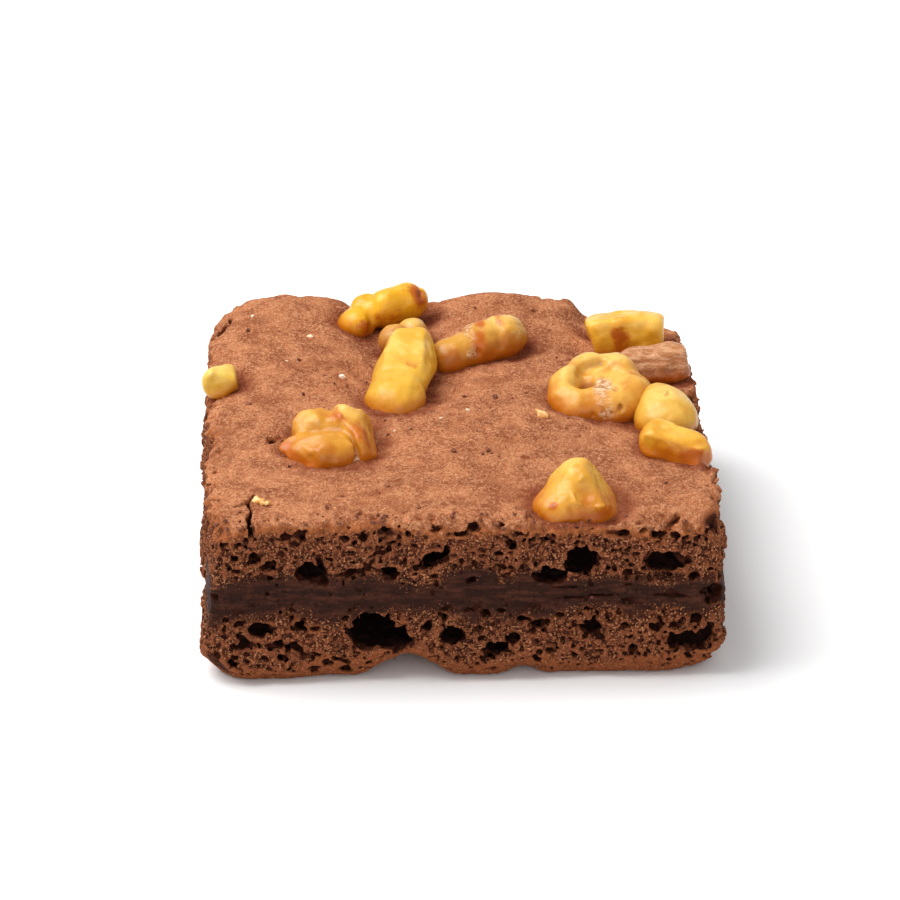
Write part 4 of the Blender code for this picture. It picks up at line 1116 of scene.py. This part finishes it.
def finish_cake(tree, given, result):
    place = object_place(tree)
    grain = pattern(tree, place, 0.27, detail=2.0, rough=0.6)
    crumbs = pattern(tree, place, 0.6, detail=3.0, rough=0.65)
    patches = pattern(tree, place, 3.0, detail=2.0)

    # plain crumb
    tone = blend(tree, between(tree, patches, 0.3, 0.62, 0.15, 1.0), CRUMB_DEEP, CRUMB)
    broad = pattern(tree, place, 7.0, detail=3.0, rough=0.6)
    tone = tint(tree, tone, CRUMB_DEEP, broad, 0.42, 0.6, 0.75)
    tone = tint(tree, tone, CRUMB_LIGHT, crumbs, 0.46, 0.64, 0.85)
    tone = tint(tree, tone, CRUMB_DEEP, given["In Band"], -3.0, -0.3, 0.5)
    tone = tint(tree, tone, CRUMB_SPECK, grain, 0.55, 0.64, 0.85)
    tone = tint(tree, tone, CRUMB_DEEP, grain, 0.47, 0.36, 0.9)
    # painted highlight: small tips that stand out are made lighter
    tone = tint(tree, tone, CRUMB_LIGHT, given["Tip"], 0.02, 0.16, 0.6)

    # the fudge band
    streaks = pattern(tree, place, 1.6, detail=4.0, rough=0.65, stretch=(0.35, 0.35, 1.8))
    fudge = blend(tree, between(tree, streaks, 0.42, 0.68), FUDGE, FUDGE_STREAK)
    fudge = tint(tree, fudge, CRUMB, grain, 0.62, 0.74, 0.5)
    # painted shade of tiny pores: dark specks in the fudge
    fudge = tint(tree, fudge, BUBBLE_SHADE, crumbs, 0.5, 0.34, 0.6)
    ragged_edge = sums(tree, "MULTIPLY", sums(tree, "SUBTRACT", crumbs, 0.5), 4.5)
    inside = between(tree, sums(tree, "ADD", given["In Band"], ragged_edge), -0.7, 1.0)
    tone = blend(tree, inside, tone, fudge)

    # the baked skin underneath
    skin = between(tree, sums(tree, "ADD", given["Over Base"], sums(tree, "MULTIPLY", crumbs, 1.2)), 1.5, 0.7)
    tone = blend(tree, sums(tree, "MULTIPLY", skin, 0.6), tone, BASE)

    # painted shade in pits and in the insides of bubbles
    tone = tint(tree, tone, PIT_SHADE, given["Tip"], 0.0, -0.2, 0.7)
    tone = tint(tree, tone, PIT_SHADE, given["Depth"], 0.3, 0.8, 0.85)
    tone = tint(tree, tone, BUBBLE_SHADE, given["Depth"], 0.7, 1.7, 0.97)

    # the crust
    edge = sums(tree, "ADD", given["Under Crust"], sums(tree, "MULTIPLY", crumbs, 1.0))
    rim = between(tree, edge, 2.4, 1.0)
    rim = sums(tree, "MULTIPLY", rim, between(tree, given["Depth"], 0.9, 0.3, 0.0, 0.7))
    tone = blend(tree, rim, tone, RIM)
    crust = blend(tree, between(tree, patches, 0.3, 0.7), CRUST_DEEP, CRUST)
    crust = tint(tree, crust, CRUST_PALE, crumbs, 0.45, 0.66, 0.55)
    crust = tint(tree, crust, CRUST_DEEP, crumbs, 0.45, 0.3, 0.5)
    crust = tint(tree, crust, CRUST_PALE, grain, 0.54, 0.66, 0.7)
    crust = tint(tree, crust, CRUST_DEEP, grain, 0.46, 0.34, 0.7)
    crust = tint(tree, crust, CRUST_DEEP, broad, 0.56, 0.7, 0.45)
    spots = pattern(tree, place, 1.5, detail=4.0, rough=0.75)
    crust = tint(tree, crust, CRUST_SPOT_AND_SHADE, spots, 0.64, 0.74, 0.85)
    # painted shade in the crust's small hollows, and in its pits and cracks
    crust = tint(tree, crust, CRUST_SPOT_AND_SHADE, given["Tip"], -0.03, -0.18)
    crust = tint(tree, crust, BUBBLE_SHADE, given["Depth"], 0.35, 1.2)
    # painted shade: a darker ring in the dip round each nut
    nut_ring_shade = between(tree, given["Nut Near"], 2.6, 0.3, 0.0, 0.75)
    crust = blend(tree, nut_ring_shade, crust, CRUST_SPOT_AND_SHADE)
    on_top = between(tree, edge, 1.15, 0.65)
    tone = blend(tree, on_top, tone, crust)
    tree.links.new(tone, result["Colour"])

    rough = between(tree, inside, 0.0, 1.0, 0.95, 0.62)
    rough = sums(tree, "MAXIMUM", rough, sums(tree, "MULTIPLY", on_top, 0.9))
    tree.links.new(rough, result["Roughness"])

    # the grain that is finer than a cell stands out most in the crumb
    fine_height = sums(tree, "ADD", grain, sums(tree, "MULTIPLY", crumbs, 1.4))
    amount = between(tree, inside, 0.0, 1.0, 1.0, 0.4)
    tree.links.new(sums(tree, "MULTIPLY", fine_height, amount), result["Height"])


finish_cake(cake_tree_nodes, given, result)


# %% Give each layer its material
def new_material(name):
    made = bpy.data.materials.new(name)
    made.use_nodes = True
    return made, made.node_tree, made.node_tree.nodes["Principled BSDF"]


CAKE_FACTS = ("Depth", "Tip", "In Band", "Under Crust", "Over Base", "Nut Near")
CAKE_GRAIN = {"crumb_lower": 0.3, "fudge_band": 0.22, "crumb_upper": 0.26}  # bump height in millimetres


def cake_material(name, grain_height):
    made, tree, shader = new_material(name)
    group = tree.nodes.new("ShaderNodeGroup")
    group.node_tree = cake_tree_nodes
    for label in CAKE_FACTS:
        tree.links.new(fact(tree, label.lower().replace(" ", "_")), group.inputs[label])
    bump = add_node(tree, "ShaderNodeBump", {"Strength": 1.0, "Distance": grain_height * MM,
                                             "Height": group.outputs["Height"]})
    tree.links.new(group.outputs["Colour"], shader.inputs["Base Color"])
    tree.links.new(group.outputs["Roughness"], shader.inputs["Roughness"])
    tree.links.new(bump.outputs[0], shader.inputs["Normal"])
    shader.inputs["Specular IOR Level"].default_value = 0.08
    return made


for name, piece in cake_pieces.items():
    piece.data.materials.clear()
    piece.data.materials.append(cake_material("baked_" + name, CAKE_GRAIN[name]))

# %% [markdown]
# ## The finish of walnut
# Toasted walnut is waxy and a little see-through: yellow where it is thick and light, amber and orange
# where it was browned, with scraps of thin wrinkled skin that are paler and pinker. The tops are given a
# painted highlight, and the flesh is darkened towards the bottom and where it meets the crust as painted
# shade. All the pieces share one node group. Each has its own two flesh colours and its own share of
# browning and of skin.

# %% The node group that finishes walnut
SKIN_PALE = colour(238, 208, 168)
SKIN_DULL = colour(208, 156, 116)
SKIN_BROWN = colour(172, 108, 62)
# browning, also used as painted shade where a nut meets the crust
TOASTED_AND_SHADE = colour(182, 92, 12)
SCORCHED = colour(118, 48, 12)

# painted highlight for the tops of the nuts
FLESH_HIGHLIGHT = colour(236, 196, 110)

walnut_nodes, given, result = new_group(
    "walnut_finish",
    [("Crease", NUMBER, 0.0), ("Stands Out", NUMBER, 2.0), ("Height Share", NUMBER, 0.5),
     ("Toast", NUMBER, 0.0), ("Skin", NUMBER, 0.0), ("Light Flesh", COLOUR, (1, 1, 1, 1)),
     ("Deep Flesh", COLOUR, (1, 1, 1, 1)), ("Browning", NUMBER, 0.3),
     ("Skin Colour", COLOUR, (1, 1, 1, 1))],
    [("Colour", COLOUR), ("Roughness", NUMBER), ("Height", NUMBER)])


def finish_walnut(tree, given, result):
    place = object_place(tree)
    clouds = pattern(tree, place, 3.4, detail=2.0)
    drifts = pattern(tree, place, 1.9, detail=5.0, rough=0.68)
    flecks = pattern(tree, place, 0.35, detail=2.0, rough=0.6)

    # painted shade: the flesh turns towards the deep colour lower down on each nut, along with random clouds
    shaded_low = between(tree, given["Height Share"], 0.95, 0.4)
    cloudy = between(tree, clouds, 0.4, 0.66, 0.0, 0.5)
    share = sums(tree, "ADD", cloudy, sums(tree, "MULTIPLY", shaded_low, 0.8))
    flesh = blend(tree, share, given["Light Flesh"], given["Deep Flesh"])
    # painted highlight: the tops of the nuts are made paler
    lit_top = between(tree, given["Height Share"], 0.75, 1.0)
    pale = sums(tree, "MULTIPLY", lit_top, between(tree, clouds, 0.6, 0.4))
    flesh = blend(tree, sums(tree, "MULTIPLY", pale, 0.55), flesh, FLESH_HIGHLIGHT)

    uneven = sums(tree, "MULTIPLY", sums(tree, "SUBTRACT", drifts, 0.5), 1.7)
    toast = between(tree, sums(tree, "ADD", given["Toast"], uneven), 0.15, 0.7)
    toast = sums(tree, "MULTIPLY", toast, between(tree, given["Toast"], 0.03, 0.3))
    everywhere = sums(tree, "MULTIPLY", between(tree, drifts, 0.53, 0.68), given["Browning"])
    flesh = blend(tree, sums(tree, "MAXIMUM", toast, everywhere), flesh, TOASTED_AND_SHADE)
    flesh = tint(tree, flesh, SCORCHED, given["Toast"], 0.7, 1.1)
    flesh = tint(tree, flesh, SCORCHED, given["Crease"], -0.25, -0.8, 0.5)
    flesh = tint(tree, flesh, SCORCHED, flecks, 0.7, 0.8, 0.55)
    # painted shade: the flesh darkens to amber where it meets the crust
    flesh = tint(tree, flesh, TOASTED_AND_SHADE, given["Stands Out"], 1.9, 0.0, 0.75)

    wrinkles = pattern(tree, place, 0.7, detail=4.0, rough=0.7, stretch=(0.5, 1.5, 1.5))
    skin = blend(tree, between(tree, wrinkles, 0.44, 0.6), SKIN_BROWN, given["Skin Colour"])
    torn = sums(tree, "ADD", given["Skin"], sums(tree, "MULTIPLY", uneven, 0.6))
    covered = between(tree, torn, 0.25, 0.8, 0.0, 0.9)
    covered = sums(tree, "MULTIPLY", covered, between(tree, given["Skin"], 0.03, 0.3))
    flesh = blend(tree, covered, flesh, skin)
    tree.links.new(flesh, result["Colour"])

    tree.links.new(between(tree, drifts, 0.3, 0.7, 0.22, 0.38), result["Roughness"])
    height = sums(tree, "MULTIPLY", wrinkles, sums(tree, "ADD", sums(tree, "MULTIPLY", covered, 1.4), 0.3))
    height = sums(tree, "ADD", height, sums(tree, "MULTIPLY", drifts, 0.6))
    tree.links.new(height, result["Height"])


finish_walnut(walnut_nodes, given, result)

# %% Give each walnut its own colours
# Light flesh, deep flesh, the share of browning that is everywhere and, for one, duller skin.
NUT_FINISH = {
    "back": (colour(230, 176, 30), colour(216, 150, 20), 0.3),
    "under": (colour(206, 152, 66), colour(176, 106, 40), 0.2),
    "long": (colour(222, 172, 56), colour(208, 150, 36), 0.05),
    "two_lobed": (colour(206, 150, 52), colour(172, 98, 22), 0.2),
    "chunk": (colour(214, 154, 50), colour(182, 108, 12), 0.25),
    "block": (colour(234, 178, 56), colour(216, 148, 30), 0.1),
    "curl": (colour(224, 174, 76), colour(196, 120, 26), 0.2),
    "brown": (colour(190, 124, 70), colour(156, 84, 44), 0.2, SKIN_DULL),
    "smooth": (colour(220, 172, 72), colour(204, 144, 38), 0.04),
    "edge": (colour(226, 172, 52), colour(196, 118, 12), 0.2),
    "peak": (colour(222, 172, 60), colour(194, 122, 30), 0.08),
    "crumb": (colour(222, 186, 84), colour(206, 156, 48), 0.0),
}


def walnut_material(name, light, deep, browning, skin=SKIN_PALE):
    made, tree, shader = new_material(name)
    group = tree.nodes.new("ShaderNodeGroup")
    group.node_tree = walnut_nodes
    for label in ("Crease", "Stands Out", "Height Share", "Toast", "Skin"):
        tree.links.new(fact(tree, label.lower().replace(" ", "_")), group.inputs[label])
    for label, value in (("Light Flesh", light), ("Deep Flesh", deep), ("Browning", browning),
                         ("Skin Colour", skin)):
        group.inputs[label].default_value = value
    bump = add_node(tree, "ShaderNodeBump", {"Strength": 0.7, "Distance": 0.22 * MM,
                                             "Height": group.outputs["Height"]})
    tree.links.new(group.outputs["Colour"], shader.inputs["Base Color"])
    tree.links.new(group.outputs["Roughness"], shader.inputs["Roughness"])
    tree.links.new(bump.outputs[0], shader.inputs["Normal"])
    shader.inputs["Subsurface Weight"].default_value = 0.15
    shader.inputs["Subsurface Radius"].default_value = (1.0, 0.6, 0.25)
    shader.inputs["Subsurface Scale"].default_value = 1.5 * MM
    shader.inputs["Specular IOR Level"].default_value = 0.35
    return made


for short, piece in nut_pieces.items():
    piece.data.materials.clear()
    piece.data.materials.append(walnut_material("walnut_flesh_" + short, *NUT_FINISH[short]))

# %% [markdown]
# ## Crumbs and specks
# A knife leaves crumbs clinging to the cut sides and lying along the crust's edge, and chopping nuts
# leaves pale specks. They are real lumps at true size: one small ragged ball is copied to many places with
# its own size, turn and shape, and all the copies of one kind are one mesh.

# %% Scatter small lumps as one mesh
ball = bpy.data.meshes.new("ball")
bm = bmesh.new()
bmesh.ops.create_icosphere(bm, subdivisions=2, radius=1.0)
bm.to_mesh(ball)
bm.free()
BALL_POINTS = np.array([v.co for v in ball.vertices])
BALL_FACES = np.array([p.vertices for p in ball.polygons])


def lumps(name, places, sizes, flat, seed):
    """One piece of ragged lumps. Places are their middles and sizes their radii, in millimetres."""
    rng = np.random.default_rng(seed)
    points, faces = [], []
    for i, (place, size) in enumerate(zip(places, sizes)):
        turn = Matrix.Rotation(rng.uniform(0, 6.28), 3, "Z") @ Matrix.Rotation(rng.uniform(-0.5, 0.5), 3, "X")
        shape = BALL_POINTS * rng.uniform(0.65, 1.2, 3) * [1, 1, flat]
        shape = shape * (1 + 0.22 * point_noise(BALL_POINTS + 3.1 * i, 0.7, seed))[:, None]
        points.append(shape @ np.array(turn).T * size + place)
        faces.append(BALL_FACES + i * len(BALL_POINTS))
    piece = new_piece(name, new_mesh(name, np.concatenate(points), np.concatenate(faces)))
    print(name, len(places), "lumps")
    return piece


def crust_height(x, y):
    return float(on_grid(crust, np.array([x]), np.array([y]), outer=False)[0]) - 0.5 * SKIN_IN


CRUST_CRUMBS, WALL_CRUMBS = 260, 160
rng = np.random.default_rng(8)
places, sizes = [], []
for _ in range(CRUST_CRUMBS):  # along the front of the crust and here and there on it
    x = rng.uniform(-0.95, 0.95) * half_width
    in_front = rng.random() < 0.55
    y = -half_depth + 1.0 + abs(rng.normal(0, 1.6)) if in_front else rng.uniform(-0.9, 0.9) * half_depth
    size = 0.1 + 0.26 * rng.random() ** 3
    places.append((x, y, crust_height(x, y) + 0.3 * size))
    sizes.append(size)
for _ in range(WALL_CRUMBS):  # clinging to the cut sides
    turn, z = rng.uniform(0, TURNS), rng.uniform(1.5, cake_high[2] - 3)
    point, out = wall_place(turn, z)
    size = 0.09 + 0.14 * rng.random() ** 2
    point = point - out * (SKIN_IN - 0.2 * size)
    if abs(read_block(field, point[None])[0]) < 0.3:  # it touches the skin there
        places.append(point)
        sizes.append(size)
crumb_lumps = lumps("loose_crumbs", places, sizes, 0.8, seed=41)

# x, y and radius
SPECKS = ((-18.3, 19.0, 0.36), (-14.4, 8.3, 0.34), (1.6, -4.2, 0.3), (-2.0, -5.8, 0.17), (-21.6, 12.4, 0.18),
          (27.6, 20.0, 0.2), (-26.0, 24.5, 0.22), (-8.0, -8.0, 0.14))
speck_places = [(x, y, crust_height(x, y) + 0.1) for x, y, _ in SPECKS]
pale_specks = lumps("pale_specks", speck_places, [r for _, _, r in SPECKS], 0.9, seed=42)

NUT_BITS = ((11.1, -5.8, 0.8), (-25.9, -26.4, 0.62), (-25.1, -26.8, 0.62), (-24.5, -27.0, 0.4),
            (30.6, -14.6, 0.45))
bit_places = [(x, y, crust_height(x, y) + 0.2) for x, y, _ in NUT_BITS]
nut_bits = lumps("nut_bits", bit_places, [r for _, _, r in NUT_BITS], 0.75, seed=43)


# %% Finish the crumbs and specks
speckle_nodes, given, result = new_group(
    "speckle_finish", [("Light", COLOUR, (1, 1, 1, 1)), ("Dark", COLOUR, (1, 1, 1, 1))],
    [("Colour", COLOUR), ("Height", NUMBER)])
tone = pattern(speckle_nodes, object_place(speckle_nodes), 0.5, detail=3.0, rough=0.6)
speckles = tint(speckle_nodes, given["Dark"], given["Light"], tone, 0.4, 0.62)
speckle_nodes.links.new(speckles, result["Colour"])
speckle_nodes.links.new(tone, result["Height"])


def speckled_material(name, light, dark, roughness):
    made, tree, shader = new_material(name)
    group = tree.nodes.new("ShaderNodeGroup")
    group.node_tree = speckle_nodes
    group.inputs["Light"].default_value = light
    group.inputs["Dark"].default_value = dark
    tree.links.new(group.outputs["Colour"], shader.inputs["Base Color"])
    bump = add_node(tree, "ShaderNodeBump", {"Strength": 0.6, "Distance": 0.1 * MM,
                                             "Height": group.outputs["Height"]})
    tree.links.new(bump.outputs[0], shader.inputs["Normal"])
    shader.inputs["Roughness"].default_value = roughness
    return made


# Each kind's light and dark colour, and its roughness.
GRAINS = ((crumb_lumps, "crumb_grains", CRUMB_LIGHT, CRUMB, 0.9),
          (pale_specks, "pale_grains", colour(250, 236, 220), colour(236, 200, 160), 0.7),
          (nut_bits, "nut_grains", colour(244, 204, 140), colour(222, 150, 70), 0.5))
for piece, *finish in GRAINS:
    piece.data.materials.append(speckled_material(*finish))

# %% [markdown]
# ## Stage, light and camera
# The cake lies on a plain white table. A white sky gives soft light from everywhere, and one broad lamp
# high on the left models the lobes and drops a soft shadow to the right. The camera looks down at the
# front from a long way off, so the sides hardly converge.

# %% Table
table_mesh = bpy.data.meshes.new("table")
REACH = 1.5
table_mesh.from_pydata([(-REACH, -REACH, 0), (REACH, -REACH, 0), (REACH, REACH, 0), (-REACH, REACH, 0)], [],
                       [(0, 1, 2, 3)])
table = bpy.data.objects.new("table", table_mesh)
table.location.z = -0.02 * MM
bpy.context.scene.collection.objects.link(table)
table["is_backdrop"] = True
table_finish, tree, shader = new_material("table_white")
shader.inputs["Base Color"].default_value = (0.93, 0.93, 0.93, 1.0)
shader.inputs["Roughness"].default_value = 0.9
table_mesh.materials.append(table_finish)

# %% Light
SKY = 0.6
sky = bpy.data.worlds.new("sky")
bpy.context.scene.world = sky
sky.use_nodes = True
sky.node_tree.nodes["Background"].inputs["Color"].default_value = (1, 1, 1, 1)
sky.node_tree.nodes["Background"].inputs["Strength"].default_value = SKY


def lamp(name, place, size, power):
    """A square white lamp that shines at the cake. Place is in metres."""
    data = bpy.data.lights.new(name, "AREA")
    data.size = size
    data.energy = power
    made = bpy.data.objects.new(name, data)
    made.location = place
    made.rotation_mode = "QUATERNION"
    made.rotation_quaternion = (Vector((0, 0, 0.012)) - Vector(place)).to_track_quat("-Z", "Y")
    bpy.context.scene.collection.objects.link(made)
    return made


lamp("key", (-0.27, 0.04, 0.50), 0.46, 4.0)
lamp("front_fill", (0.05, -0.7, 0.30), 0.5, 1.0)

# %% Camera
PITCH, YAW = math.radians(27.04), math.radians(2.02)  # how far it looks down and to the right
camera_data = bpy.data.cameras.new("camera")
camera_data.sensor_width = 36
camera_data.lens = 240.2
camera_data.clip_start, camera_data.clip_end = 0.05, 20
camera = bpy.data.objects.new("camera", camera_data)
camera.location = (-0.0251, -0.6942, 0.3708)
camera.rotation_mode = "QUATERNION"
looks = Vector((math.sin(YAW) * math.cos(PITCH), math.cos(YAW) * math.cos(PITCH), -math.sin(PITCH)))
camera.rotation_quaternion = looks.to_track_quat("-Z", "Y")
bpy.context.scene.collection.objects.link(camera)
bpy.context.scene.camera = camera
bpy.context.scene.view_settings.view_transform = "Standard"
